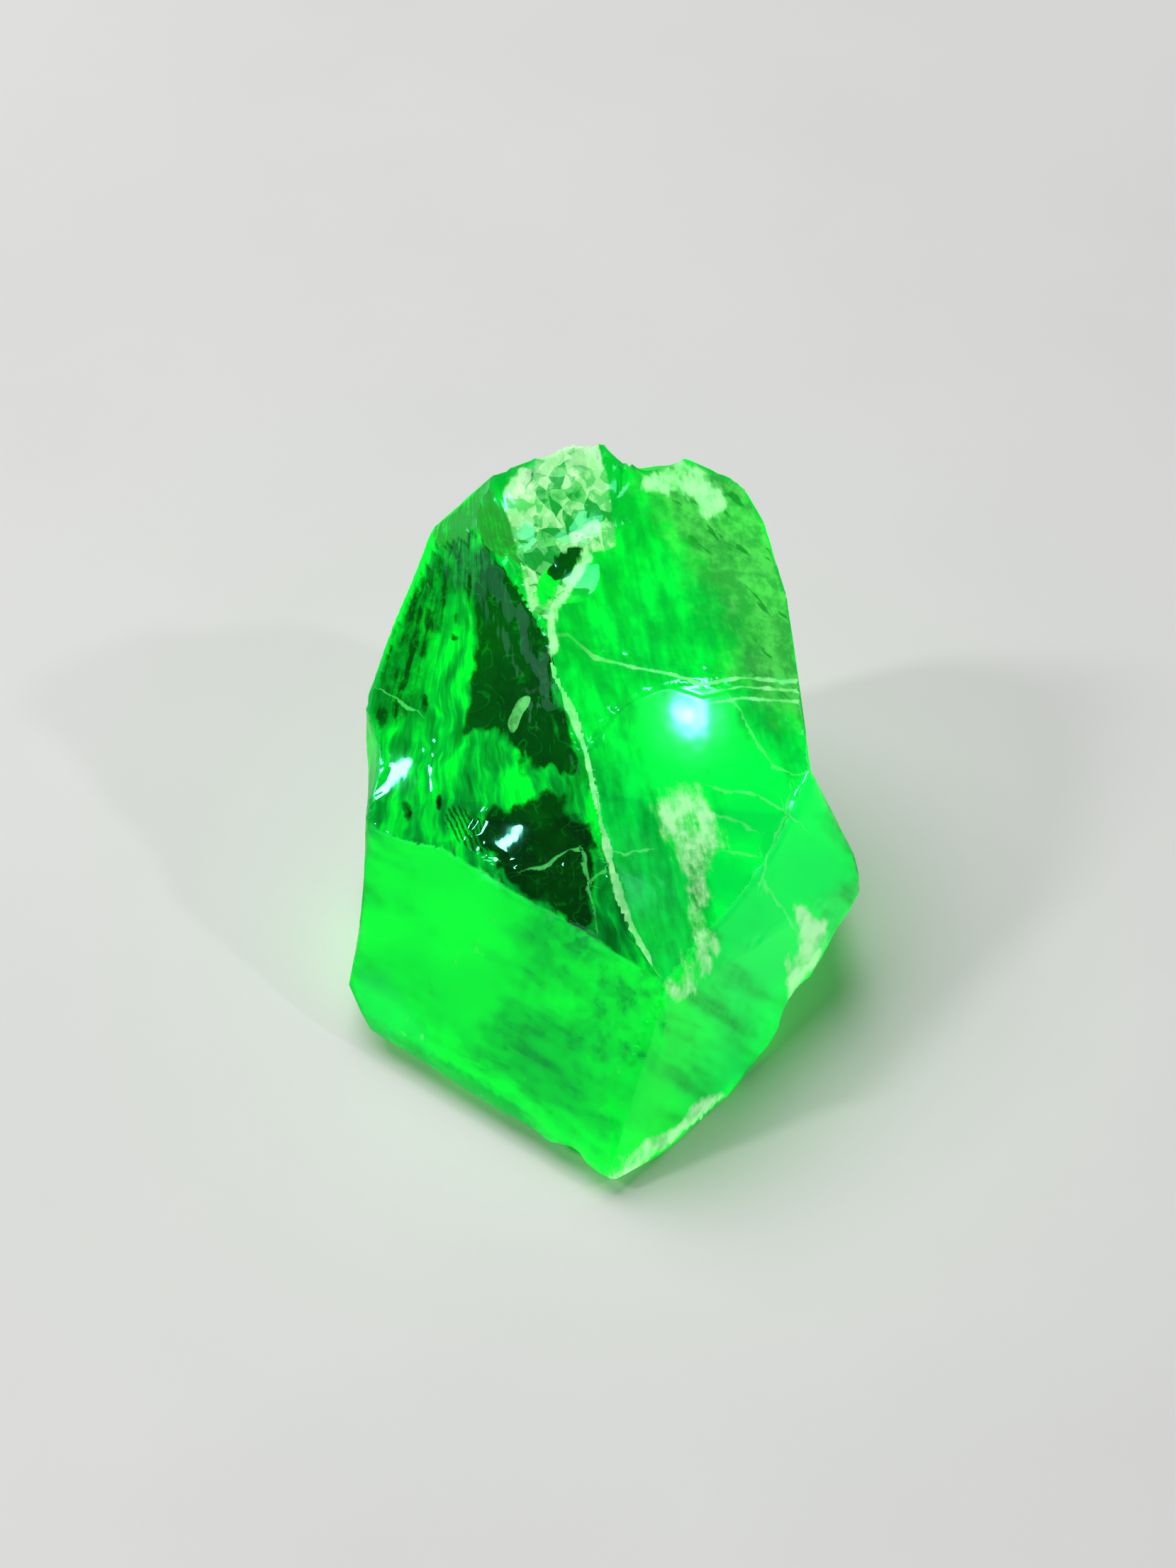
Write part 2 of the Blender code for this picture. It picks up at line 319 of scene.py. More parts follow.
# %% [markdown]
# ## Points pulled onto the edges
# A regular grid steps over an edge like a staircase. Where the two nearest breaks are almost
# level, the ray is turned to where they are exactly level, so the crisp edges of the break are
# drawn by points that lie on them. Each cell is then split along its better diagonal.

# %% Rays pulled onto the edges
CELL_ANGLE = math.pi / 2.0 / CELLS
PULL = 0.56
PULL_ROUNDS = 2
SMALL_TURN = 1e-4
STEEP_RAY = 0.9
NO_SLOPE = 1e-12
ON_EDGE = 1e-3


def two_nearest(reach):
    """Numbers of the two breaks that a ray meets first."""
    order = np.argpartition(reach, 1, axis=0)[:2]
    near = np.take_along_axis(reach, order, 0)
    swap = near[0] > near[1]
    return np.where(swap, order[::-1], order)


def way_to_edge(rays):
    """One Newton step: the difference of the two nearest reaches, over its slope, is the turn that
    reaches the edge."""
    reach = all_reaches(rays)
    pair = two_nearest(reach)
    first, second = np.take_along_axis(reach, pair, 0)
    gap = second - first
    helper = np.where(np.abs(rays[:, 2:]) < STEEP_RAY, [[0.0, 0.0, 1.0]], [[1.0, 0.0, 0.0]])
    across = unit(np.cross(rays, helper))
    sides = (across, np.cross(rays, across))
    slopes = []
    for side in sides:
        near, far = np.take_along_axis(all_reaches(unit(rays + side * SMALL_TURN)), pair, 0)
        slopes.append((far - near - gap) / SMALL_TURN)
    steep = slopes[0] ** 2 + slopes[1] ** 2 + NO_SLOPE
    turn = -(sides[0] * slopes[0][:, None] + sides[1] * slopes[1][:, None]) * (gap / steep)[:, None]
    return turn, first, pair


def pull_to_edges(rays):
    """Rays closer than PULL of a cell to an edge are turned onto it."""
    turn = way_to_edge(rays)[0]
    close = np.linalg.norm(turn, axis=1) < PULL * CELL_ANGLE
    return np.where(close[:, None], unit(rays + turn), rays)


for _ in range(PULL_ROUNDS):
    rays = pull_to_edges(rays)
turn, skin, pair = way_to_edge(rays)
edge_distance = np.minimum(np.linalg.norm(turn, axis=1) * skin, FAR)
kind, other_kind = pair
print(int((edge_distance < ON_EDGE).sum()), "points on edges")

# %% The better diagonal of every cell


def split_cells(rays, skin, quads):
    """Both diagonals' middles are compared with the true skin there, and the closer diagonal is kept."""
    points = rays * skin[:, None]
    misses = []
    for a, c in ((0, 2), (1, 3)):
        middle = (points[quads[:, a]] + points[quads[:, c]]) / 2.0
        misses.append(np.abs(np.linalg.norm(middle, axis=1) - all_reaches(unit(middle)).min(0)))
    first = (misses[0] <= misses[1])[:, None, None]
    a, b, c, d = quads.T
    along_ac = np.stack([np.stack([a, b, c], 1), np.stack([a, c, d], 1)], 1)
    along_bd = np.stack([np.stack([a, b, d], 1), np.stack([b, c, d], 1)], 1)
    return np.where(first, along_ac, along_bd).reshape(-1, 3)


triangles = split_cells(rays, skin, quads)
print(len(triangles), "triangles")

# %% [markdown]
# ## Every point's place on the sheet
# Small marks are placed on the same drawing as the corners. Each point of the skin keeps its
# place on the sheet, and the sheet becomes the UV map too.

# %% Places on the sheet
bare = CENTRE + rays * skin[:, None]
sheet = sheet_place(bare)
print("sheet, mm: across", sheet[:, 0].min().round(2), "to", sheet[:, 0].max().round(2),
      "and up", sheet[:, 1].min().round(2), "to", sheet[:, 1].max().round(2))

# %% [markdown]
# ## Noise worked out with numpy
# Rock never breaks quite smoothly. Random numbers on a lattice, eased between its corners, give
# soft lumps, and a crowd of tilted cells gives the little flat chips of crushed stone.

# %% Noise
LATTICE = 32
BLOB_CORE = 0.5


def soft_noise(points, seed):
    """Value noise from -1 to 1: random numbers at a lattice's corners, blended by smooth steps."""
    table = np.random.default_rng(seed).uniform(-1.0, 1.0, (LATTICE, LATTICE, LATTICE))
    low = np.floor(points).astype(int)
    part = points - low
    ease = part * part * (3.0 - 2.0 * part)
    total = np.zeros(len(points))
    for corner in np.ndindex(2, 2, 2):
        share = np.prod(np.where(np.array(corner) == 1, ease, 1.0 - ease), axis=1)
        total += share * table[tuple(((low + corner) % LATTICE).T)]
    return total


def layered_noise(points, seed, layers=3):
    """Soft noise in layers, each twice as fine and half as strong."""
    return sum(soft_noise(points * 2.0**k, seed + k) / 2.0**k for k in range(layers))


def chip_planes(points, seeds, slope, seed):
    """Distance down the random slope of the nearest seed: small flat chips that meet at sharp edges."""
    tilt = np.random.default_rng(seed).normal(0.0, slope, seeds.shape)
    nearest = np.argmin(((points[:, None, :] - seeds[None]) ** 2).sum(-1), axis=1)
    return ((points - seeds[nearest]) * tilt[nearest]).sum(-1)


def band(value, low, high):
    """Smooth step from 0 at low to 1 at high."""
    part = np.clip((value - low) / (high - low), 0.0, 1.0)
    return part * part * (3.0 - 2.0 * part)


def blob(place, across, up, wide, tall, turn=0.0):
    """1 inside an ellipse on the sheet, falling to 0 over its outer half."""
    cosine, sine = math.cos(math.radians(turn)), math.sin(math.radians(turn))
    right, above = place[:, 0] - across, place[:, 1] - up
    along, over = right * cosine + above * sine, above * cosine - right * sine
    return 1.0 - band(np.hypot(along / wide, over / tall), BLOB_CORE, 1.0)


def line_distance(place, stops):
    """Distance on the sheet to the nearest point of a line through the stops."""
    nearest = np.full(len(place), FAR)
    for start, end in zip(stops[:-1], stops[1:]):
        leg = end - start
        part = np.clip(((place - start) @ leg) / (leg @ leg), 0.0, 1.0)
        nearest = np.minimum(nearest, np.linalg.norm(place - start - part[:, None] * leg, axis=1))
    return nearest


def how_many(mark):
    """How many points have a mark over one half."""
    return int((mark > 0.5).sum())


one_layer = soft_noise(bare, 1)
print("noise of one layer spans", one_layer.min().round(2), "to", one_layer.max().round(2))

# %% [markdown]
# ## Relief of the broken skin
# On the real stone the long edge is worn blunt and pale, the other edges are nibbled, the shell
# faces carry streaks that fan out from above the crest, and the crest is crushed to little chips.
# All of it only makes rays a little shorter or longer, so the skin stays one closed surface.

# %% Groups of breaks, and the worn edges
GROUPS = {
    "window": ("window face", "window scoop", "ridge scoop", "top scoop"),
    "right": ("right middle face", "right upper face", "middle scoop", "prow scoop"),
    "front": ("lower left face", "left rim"),
    "side": ("lower right face", "right lobe"),
    "shoulder": ("left shoulder",),
    "crust": ("crust chip front", "crust chip hollow", "crust chip left", "crust chip back"),
}


def in_group(kinds, group):
    """1 where the break belongs to the group."""
    return np.isin(kinds, [BREAKS.index(name) for name in GROUPS[group]]).astype(float)


on = {group: in_group(kind, group) for group in GROUPS}
beside = {group: in_group(other_kind, group) for group in GROUPS}
ridge = np.maximum(on["window"] * beside["right"], on["right"] * beside["window"])
EDGE_WEAR, NIBBLE_WEAR, RIDGE_WEAR, CORNER_WEAR = 0.09, 0.20, 0.13, 0.55
WEAR_DEPTH = 0.22
NIBBLE_SCALE, NIBBLE_SEED, NIBBLE_STEP = 1.5, 11, (0.15, 0.75)
nibble = band(layered_noise(bare * NIBBLE_SCALE, NIBBLE_SEED), *NIBBLE_STEP)
soft_corner = np.maximum(on["front"] * beside["side"], on["side"] * beside["front"])
wear_width = EDGE_WEAR + NIBBLE_WEAR * nibble + RIDGE_WEAR * ridge + CORNER_WEAR * soft_corner
wear = np.clip(1.0 - edge_distance / wear_width, 0.0, 1.0) ** 2 * wear_width * WEAR_DEPTH
print("edges worn back by up to", wear.max().round(3), "mm")

# %% Streaks that fan out, and ripples round the blow
FAN = (-2.6, 8.2)
FAN_STREAKS = 9.0
STREAK_WARP, STREAK_LONG, STREAK_DEEP = 0.7, 0.45, 0.3
FINE_RIPPLE_LENGTH, RIPPLE_WARP = 0.42, 3.0
WARP_SCALE, WARP_SEED, STREAK_SEED = 0.9, 21, 31
warp = layered_noise(bare * WARP_SCALE, WARP_SEED, layers=2)
from_fan = sheet - FAN
fan_angle = np.arctan2(from_fan[:, 0], -from_fan[:, 1])
fan_reach = np.linalg.norm(from_fan, axis=1)
streak_across = fan_angle * FAN_STREAKS + warp * STREAK_WARP
streak_place = np.stack([streak_across, fan_reach * STREAK_LONG, bare[:, 2] * STREAK_DEEP], 1)
streaks = layered_noise(streak_place, STREAK_SEED, layers=2)
blow_distance = np.linalg.norm(bare - BLOW_POINT, axis=1)
ripples = np.cos(2.0 * math.pi * blow_distance / FINE_RIPPLE_LENGTH + warp * RIPPLE_WARP)
print("streaks from", streaks.min().round(2), "to", streaks.max().round(2))

# %% The crushed crest, the ledge, and two calm places
# A blob is its middle across and up, its half width and height, and its turn in degrees.
CREST = ((-0.65, 5.75, 1.75, 1.9, -25.0), (0.05, 7.0, 1.2, 1.0))
CREST_THICK = (0.9, 1.5)
CREST_BOX = ([-3.2, 1.0, 6.5], [2.4, 8.0, 11.0])
CRUST_SEEDS = 420
PLACES_SEED, SLOPES_SEED = 5, 6
CHIP_SLOPE = 0.55
LEDGE = np.array([
    (-0.44, 3.29), (0.11, 2.79), (0.98, 2.57), (1.85, 2.40), (2.50, 2.19), (3.37, 2.34), (4.57, 2.25),
])
LEDGE_STEP = 0.05
SECOND_LEDGE, SECOND_SHARE = 0.28, 0.6
WAVE_SCALE, WAVE_SEED = 0.55, 41
CALM_GLINT = (-4.3, 0.3, 0.8, 1.6)
CALM_DEPTHS, CALM_SHARE = (-1.6, -1.1, 1.7, 1.1, -25.0), 0.9
crest_normal, crest_middle = PLANES["right upper face"]
under_crest = (crest_middle - bare) @ crest_normal
near_crest = 1.0 - band(under_crest, *CREST_THICK)
crest = np.maximum(*[blob(sheet, *spot) for spot in CREST]) * near_crest
seeds = np.random.default_rng(PLACES_SEED).uniform(*CREST_BOX, (CRUST_SEEDS, 3))
chips = chip_planes(bare, seeds, CHIP_SLOPE, SLOPES_SEED)
ledge_up = sheet[:, 1] - np.interp(sheet[:, 0], LEDGE[:, 0], LEDGE[:, 1])
ledges = band(-ledge_up, -LEDGE_STEP, LEDGE_STEP)
ledges = ledges - SECOND_SHARE * band(-ledge_up - SECOND_LEDGE, -LEDGE_STEP, LEDGE_STEP)
waves = layered_noise(bare * WAVE_SCALE, WAVE_SEED, layers=4)
calm = on["window"] * np.maximum(blob(sheet, *CALM_GLINT), CALM_SHARE * blob(sheet, *CALM_DEPTHS))
print("crushed points:", how_many(crest))

# %% All the relief together
STREAK_DEPTH, RIPPLE_DEPTH, LEDGE_DEPTH = 0.026, 0.004, 0.018
CHIP_DEPTH, CHIP_LIMIT = 0.38, 0.45
GRIT_DEPTH, GRIT_SCALE, GRIT_SEED = 0.02, 4.0, 51
WAVE_DEPTH, FLATTER_RIGHT, FLATTER_CALM = 0.016, 0.010, 0.013
STREAKS_CALMED = 0.90
BASE_FADE = (0.02, 0.3)
lively = on["window"] * (1.0 - STREAKS_CALMED * calm)
relief = wear + lively * (STREAK_DEPTH * streaks + RIPPLE_DEPTH * ripples)
relief = relief + on["right"] * LEDGE_DEPTH * ledges
grit = GRIT_DEPTH * layered_noise(bare * GRIT_SCALE, GRIT_SEED)
relief = relief + crest * (CHIP_DEPTH * np.clip(chips, -CHIP_LIMIT, CHIP_LIMIT) + grit)
relief = relief + (WAVE_DEPTH - FLATTER_RIGHT * on["right"] - FLATTER_CALM * calm) * waves
relief = relief * band(bare[:, 2], *BASE_FADE)
points = (CENTRE + rays * (skin - relief)[:, None]) * MM
print("relief from", relief.min().round(3), "to", relief.max().round(3), "mm")

# %% [markdown]
# ## Where the stone is clear, dark, hazy or frosted
# The look of rough tsavorite comes from how its skin broke. Smooth shells let you see deep into
# it, flat matt faces glow evenly, and crushed places turn pale. The dark depths and the even glow
# are laid into the tint as painted shade and painted glow; frost and haze are the stone's own
# colour. Painting these places would need a picture; outlines on the sheet, blurred and bent by
# noise, need a few points each.

# %% Helpers for places on the sheet
STROKE_CORE = 0.25
REACH_CORE = 0.6


def inside(place, outline):
    """Even and odd rule: inside, a line to the right crosses the outline an odd number of times."""
    x, y = place.T
    odd = np.zeros(len(place), bool)
    for (x1, y1), (x2, y2) in zip(outline, np.roll(outline, -1, axis=0)):
        spans = (y1 > y) != (y2 > y)
        odd ^= spans & (x < (x2 - x1) * (y - y1) / (y2 - y1 + NO_SLOPE) + x1)
    return odd


def patch(place, outline, soft):
    """1 inside the outline and 0 outside it, with a smooth step as wide as soft across its edge."""
    outline = np.array(outline)
    closed = np.vstack([outline, outline[:1]])
    depth = line_distance(place, closed) * np.where(inside(place, outline), 1.0, -1.0)
    return band(depth, -soft / 2.0, soft / 2.0)


def stroke(place, stops, width):
    """1 on the line through the stops, falling to 0 at the width."""
    return 1.0 - band(line_distance(place, np.array(stops)), STROKE_CORE * width, width)


def side_of_lines(place, lines, reach):
    """Signed distance to the nearest leg of any line, positive on its left, and a mask that fades out
    at the reach. Past a leg's end the distance is the one to that end."""
    nearest = np.full(len(place), FAR)
    signed = np.full(len(place), FAR)
    for stops in lines:
        for start, end in zip(stops[:-1], stops[1:]):
            start, leg = np.array(start), np.subtract(end, start)
            part = np.clip(((place - start) @ leg) / (leg @ leg), 0.0, 1.0)
            gap = np.linalg.norm(place - start - part[:, None] * leg, axis=1)
            x, y = (place - start).T
            left = (leg[0] * y - leg[1] * x) / np.linalg.norm(leg)
            beside_leg = part * (1.0 - part) > 0.0
            closer = gap < nearest
            nearest = np.where(closer, gap, nearest)
            signed = np.where(closer, np.where(beside_leg, left, np.copysign(gap, left)), signed)
    return signed, 1.0 - band(nearest, REACH_CORE * reach, reach)


def push(scale, seeds):
    """Two noises of the same scale, one for across and one for up."""
    return np.stack([layered_noise(bare * scale, seed) for seed in seeds], 1)


WOBBLE, WOBBLE_SCALE, WOBBLE_SEEDS = 0.10, 1.1, (61, 71)
TEAR, TEAR_SCALE, TEAR_SEEDS = 0.16, 2.1, (81, 91)
wobble = WOBBLE * push(WOBBLE_SCALE, WOBBLE_SEEDS)
place = sheet + wobble
torn = place + TEAR * push(TEAR_SCALE, TEAR_SEEDS)
print("bend of the outlines, mm:", np.abs(wobble).max().round(2))

# %% Painted shade: dark depths, the shoulder's shadow and dark spots
UPPER_DEPTH_SHADE = [
    (-0.75, 5.0), (-0.72, 3.6), (-0.60, 2.0), (-0.35, 1.0), (-0.05, 0.25), (-0.85, 0.35), (-1.30, 0.35),
    (-1.67, 0.65), (-2.00, 1.10), (-2.43, 1.30), (-2.78, 1.15), (-2.74, 1.45), (-2.63, 1.95),
    (-2.37, 3.35), (-2.45, 4.6),
]
LOWER_DEPTH_SHADE = [
    (-2.27, -0.68), (-1.31, -0.50), (-1.0, -0.1), (-0.3, -0.5), (0.05, -0.9), (0.15, -1.7),
    (0.12, -3.2), (-0.33, -3.12), (-1.51, -2.31), (-2.16, -1.69), (-2.6, -1.2),
]
SHOULDER_SHADOW = [
    (-4.6, 4.9), (-3.3, 6.0), (-2.3, 6.9), (-1.4, 6.9), (-1.3, 5.0), (-1.0, 4.0), (-2.3, 3.6),
    (-3.0, 4.0), (-4.3, 3.5),
]
UPPER_LEFT = [(-4.9, 1.6), (-4.3, 3.9), (-3.2, 5.4), (-2.9, 3.6), (-3.4, 2.6), (-3.9, 1.2)]
DARK_SPOTS = [
    (-4.05, 3.05, 0.22, 0.36), (-3.75, 3.75, 0.14, 0.22), (-2.9, 3.2, 0.13, 0.12), (-4.45, 1.5, 0.20, 0.46),
    (-3.6, 1.8, 0.12, 0.30), (-4.05, 2.2, 0.10, 0.18), (-4.0, -0.6, 0.16, 0.36), (-3.3, -0.35, 0.10, 0.22),
]
DEPTHS_BORDER, SHADOW_BORDER, LEFT_BORDER = 0.45, 0.9, 1.6
SHOULDER_SHADE, SHADOW_SHADE, LEFT_SHADE, SPOT_SHADE = 0.75, 0.62, 0.72, 0.75
# Everything in the mark of shade is painted shade: dark depths in the window, a shadow over the shoulder and
# the crest's left side, a darker upper left, and small dark spots.
shadow = patch(place, SHOULDER_SHADOW, SHADOW_BORDER)
painted_shoulder_shadow = SHOULDER_SHADE * np.maximum(on["shoulder"], on["crust"]) * shadow
shade = painted_shoulder_shadow + on["window"] * np.maximum.reduce([
    patch(torn, UPPER_DEPTH_SHADE, DEPTHS_BORDER),
    patch(torn, LOWER_DEPTH_SHADE, DEPTHS_BORDER),
    SHADOW_SHADE * shadow,
    LEFT_SHADE * patch(place, UPPER_LEFT, LEFT_BORDER),
    *[SPOT_SHADE * blob(place, *dark_spot) for dark_spot in DARK_SPOTS],
])
print("shaded points:", how_many(shade))

# %% Teeth, a leaf-shaped chip and the painted shade of a dark hole
TEETH = (-2.65, -1.0, 0.85, 0.36, -52.0)
LEAF = (-1.52, 1.52, 0.26, 0.58, -22.0)
LEAF_HOLLOW, HOLLOW_SHARE = (-1.30, 1.45, 0.20, 0.50, -22.0), 0.8
SHADED_HOLE = (-0.50, 4.90, 0.62, 0.34, 32.0)
teeth = on["window"] * blob(place, *TEETH)
crescent = blob(place, *LEAF) - HOLLOW_SHARE * blob(place, *LEAF_HOLLOW)
leaf = on["window"] * np.clip(crescent, 0.0, 1.0)
# The hole's darkness is painted shade in the crest's hollow.
hole_shade = blob(sheet, *SHADED_HOLE) * near_crest
print("points in the hole:", how_many(hole_shade))

# %% Painted glow in bright places, and painted shade at the low rim and the top
PAINTED_GLOW_RIGHT = [
    (1.1, 1.9), (2.9, 2.1), (4.2, 0.3), (5.1, 0.0), (6.1, -1.9), (5.2, -2.9), (4.2, -4.8),
    (2.9, -3.6), (2.4, -1.3), (1.0, 0.0),
]
PAINTED_GLOW_FRONT = [
    (-4.8, -1.3), (-3.1, -1.0), (-1.1, -2.7), (-1.6, -4.4), (-2.6, -5.3), (-3.9, -4.9), (-5.0, -3.8),
]
LOW_RIM = [(-4.9, -5.0), (-3.9, -5.9), (-2.2, -7.0), (-0.9, -7.85)]
PAINTED_GLOW_TOP = [(-0.2, 3.9), (0.9, 4.6), (2.6, 3.6), (3.0, 2.4), (1.5, 2.6), (0.3, 3.0)]
PAINTED_GLOW_BORDER = 1.4
PLAIN_LIGHT, SIDE_LIGHT, FRONT_LIGHT, RIGHT_LIGHT = 0.30, 0.34, 0.18, 0.10
RIGHT_GLOW, FRONT_GLOW, TOP_GLOW = 0.70, 0.62, 0.24
RIM_SHADE, RIM_WIDTH = 0.35, 0.30
UPPER_SHADE, UPPER_STEP = 0.12, (0.5, 2.5)
# The mark of light is painted light: outlined patches and whole faces are made brighter as if lit through
# the stone, and a stroke along the low rim and the right side towards the top are made darker as painted
# shade.
light = PLAIN_LIGHT + np.maximum.reduce([
    RIGHT_GLOW * patch(place, PAINTED_GLOW_RIGHT, PAINTED_GLOW_BORDER) * (on["right"] + on["side"]),
    FRONT_GLOW * patch(place, PAINTED_GLOW_FRONT, PAINTED_GLOW_BORDER) * on["front"],
    TOP_GLOW * patch(place, PAINTED_GLOW_TOP, PAINTED_GLOW_BORDER) * on["right"],
    SIDE_LIGHT * on["side"],
    FRONT_LIGHT * on["front"],
    RIGHT_LIGHT * np.maximum(on["right"], on["crust"]),
])
light = light - RIM_SHADE * on["front"] * stroke(place, LOW_RIM, RIM_WIDTH)
light = light - UPPER_SHADE * on["right"] * band(sheet[:, 1], *UPPER_STEP)
print("bright points:", int((light > 0.8).sum()))

# %% Frosted places
BIG_PATCH = [
    (1.3, -0.5), (1.8, 0.0), (2.3, 0.1), (2.9, -0.6), (3.0, -1.4), (2.5, -2.0), (1.9, -1.6), (1.5, -1.1),
]
TRAIL = [(2.3, -1.5), (2.45, -2.4), (2.4, -3.0), (2.65, -3.6), (2.35, -4.2)]
TIP_PATCH = [(1.5, -4.5), (2.0, -4.2), (2.5, -3.9), (2.4, -4.6), (1.8, -4.9)]
LOBE_CRUST = [(4.5, -2.5), (4.9, -2.9), (5.3, -3.0), (5.0, -3.9), (4.4, -4.6), (4.3, -4.2), (4.6, -3.5)]
LOW_CRUST = [(3.0, -6.9), (2.4, -7.2), (2.2, -7.6), (1.6, -7.9), (1.0, -8.3)]
CREST_PATCH = [(1.5, 6.6), (2.1, 6.75), (2.7, 6.2)]
RIDGE_TOP = [(-0.76, 2.9), (-0.72, 3.9), (-0.38, 4.5), (0.0, 5.1)]
TIP, TIP_SHARE = (0.85, -8.6, 0.9, 0.45, 10.0), 0.6
# An outline with its soft border, or a line with its width, and its strength.
FROSTED_PATCHES = ((BIG_PATCH, 0.8, 0.85), (TIP_PATCH, 0.3, 0.75), (LOBE_CRUST, 0.4, 1.0))
FROSTED_LINES = ((TRAIL, 0.45, 0.65), (LOW_CRUST, 0.35, 0.9), (CREST_PATCH, 0.5, 1.0))
RIDGE_TOP_WIDTH, RIDGE_TOP_SHARE = 0.22, 0.9
faces = np.clip(on["right"] + on["side"] + on["front"], 0.0, 1.0)
patches = [patch(place, outline, soft) * share for outline, soft, share in FROSTED_PATCHES]
strokes = [stroke(place, stops, width) * share for stops, width, share in FROSTED_LINES]
ridge_top = stroke(place, RIDGE_TOP, RIDGE_TOP_WIDTH) * RIDGE_TOP_SHARE * near_crest
tip = TIP_SHARE * blob(place, *TIP)
frost = np.maximum.reduce([faces * np.maximum.reduce(patches + strokes), tip, ridge_top])
print("frosted points:", how_many(frost))

# %% The crest's crust
CREST_CRUST = [
    (-1.96, 6.22), (-1.64, 5.68), (-1.42, 4.70), (-1.20, 3.82), (-0.88, 3.66), (-0.32, 4.48), (0.01, 5.24),
    (0.55, 5.35), (0.49, 6.11), (0.27, 6.87), (0.13, 7.60), (-0.46, 7.70), (-1.00, 7.40), (-1.70, 6.55),
]
CRUST_BORDER = 0.35
CLEAR_IN_CRUST, CLEAR_SHARE = (-0.88, 4.45, 0.34, 0.80, -12.0), 0.8
crust = patch(place, CREST_CRUST, CRUST_BORDER) * near_crest
crust = crust * (1.0 - CLEAR_SHARE * blob(sheet, *CLEAR_IN_CRUST))
print("crust points:", how_many(crust))

# %% Hazy places
UPPER_HAZE = [(0.8, 7.5), (5.0, 7.0), (5.4, 1.4), (4.2, 1.6), (3.2, 2.4), (3.4, 3.4), (2.2, 5.0)]
PROW_DULL = [(0.0, -0.8), (1.2, -0.9), (2.3, -2.0), (2.4, -3.6), (1.7, -4.8), (0.9, -4.0)]
CORNER_HAZE = [(-5.0, -4.0), (-4.4, -4.2), (-3.7, -5.2), (-3.4, -5.8), (-4.4, -5.4), (-5.1, -4.8)]
HAZY_PLACES = (("right", UPPER_HAZE, 1.8), ("right", PROW_DULL, 0.8), ("front", CORNER_HAZE, 0.4))
TEXTURE_LEAN, TEXTURE_STEP = 0.35, (-3.0, -1.0)
COOL_RIGHT, COOLER_BELOW, COOLER_STEP = 0.35, 0.3, (-2.5, 0.0)
COOL_SIDE_STEP = (1.5, 3.5)
haze, dull, mist = [on[group] * patch(place, outline, soft) for group, outline, soft in HAZY_PLACES]
texture = on["front"] * band(place[:, 0] + TEXTURE_LEAN * place[:, 1], *TEXTURE_STEP)
cool_right = on["right"] * (COOL_RIGHT + COOLER_BELOW * band(-place[:, 1], *COOLER_STEP))
cool = np.maximum(cool_right, on["side"] * band(place[:, 0], *COOL_SIDE_STEP))
print("hazy points:", how_many(haze))

# %% Pale lines
VEINS = [
    [(2.8, 0.0), (3.5, -0.2), (4.0, -0.55), (4.7, -0.95)],
    [(2.8, -0.6), (3.6, -1.0)],
    [(3.1, -1.5), (3.7, -1.6)],
    [(4.4, 0.0), (4.3, -0.7), (4.0, -1.5), (3.8, -2.2)],
    [(3.9, -2.1), (4.2, -2.6), (4.5, -3.1)],
    [(0.45, -1.6), (1.3, -1.5)],
    [(2.9, 2.05), (3.6, 1.1), (4.0, 0.35), (4.5, 0.2), (5.0, 0.4)],
    [(-0.10, -1.55), (0.0, -2.3), (0.18, -3.2)],
    [(0.05, -2.1), (0.3, -1.9)],
    [(-1.34, -1.88), (-0.8, -1.75), (-0.26, -1.46)],
    [(-4.5, 2.1), (-4.2, 1.95), (-3.8, 1.65)],
]
VEIN_REACH = 0.3
VEINS_IN_WINDOW = 0.8
vein_gap, vein_near = side_of_lines(place, VEINS, VEIN_REACH)
vein_near = vein_near * np.maximum(faces, VEINS_IN_WINDOW * on["window"])
print("points beside veins:", how_many(vein_near))

# %% [markdown]
# ## The stone's mesh
# A clear stone has to be one closed skin, or light would not know where it is inside. The points
# and triangles go into one mesh, and the places above become attributes that its material reads.

# %% The stone's mesh
SHARP_FROM = math.radians(24.0)
GAP_LIMIT = 2.0
RIDGE_END = 3.1


def new_piece(name, points, faces, corner_places, marks):
    """A mesh object at the origin, its place in its mesh. The sheet is its UV map and the marks are
    its attributes."""
    mesh = bpy.data.meshes.new(name)
    mesh.from_pydata(points, [], faces)
    uv = mesh.uv_layers.new(name="sheet")
    uv.data.foreach_set("uv", corner_places[faces.ravel()].ravel())
    for mark, values in marks.items():
        mesh.attributes.new(mark, "FLOAT", "POINT").data.foreach_set("value", values)
    mesh.shade_smooth()
    mesh.set_sharp_from_angle(angle=SHARP_FROM)
    mesh.update()
    piece = bpy.data.objects.new(name, mesh)
    bpy.context.scene.collection.objects.link(piece)
    return piece


on_ridge = (ridge > 0.5) & (sheet[:, 1] < RIDGE_END)
# Of these marks, light carries painted glow and painted shade, and shade, shoulder and the dark hole carry
# painted shade.
marks = {
    "window": on["window"],
    "right": np.maximum(on["right"], on["crust"]),
    "light": light,
    "shade": shade,
    "shoulder": painted_shoulder_shadow,
    "hole_shade": hole_shade,
    "crust": crust,
    "frost": frost,
    "haze": haze,
    "dull": dull,
    "mist": mist,
    "texture": texture,
    "cool": cool,
    "teeth": teeth,
    "calm": calm,
    "leaf": leaf,
    "ridge_gap": np.where(on_ridge, np.minimum(edge_distance, GAP_LIMIT), GAP_LIMIT),
    "shown": np.maximum(faces, on["window"]),
    "ledge_gap": np.where(on["right"] > 0.5, np.clip(ledge_up, -GAP_LIMIT, GAP_LIMIT), GAP_LIMIT),
    "vein_gap": np.clip(vein_gap, -GAP_LIMIT, GAP_LIMIT),
    "vein_near": vein_near,
}
stone = new_piece("garnet_skin", points, triangles, sheet, marks)
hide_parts(STONE)
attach(stone, "root")
print(len(stone.data.polygons), "faces")
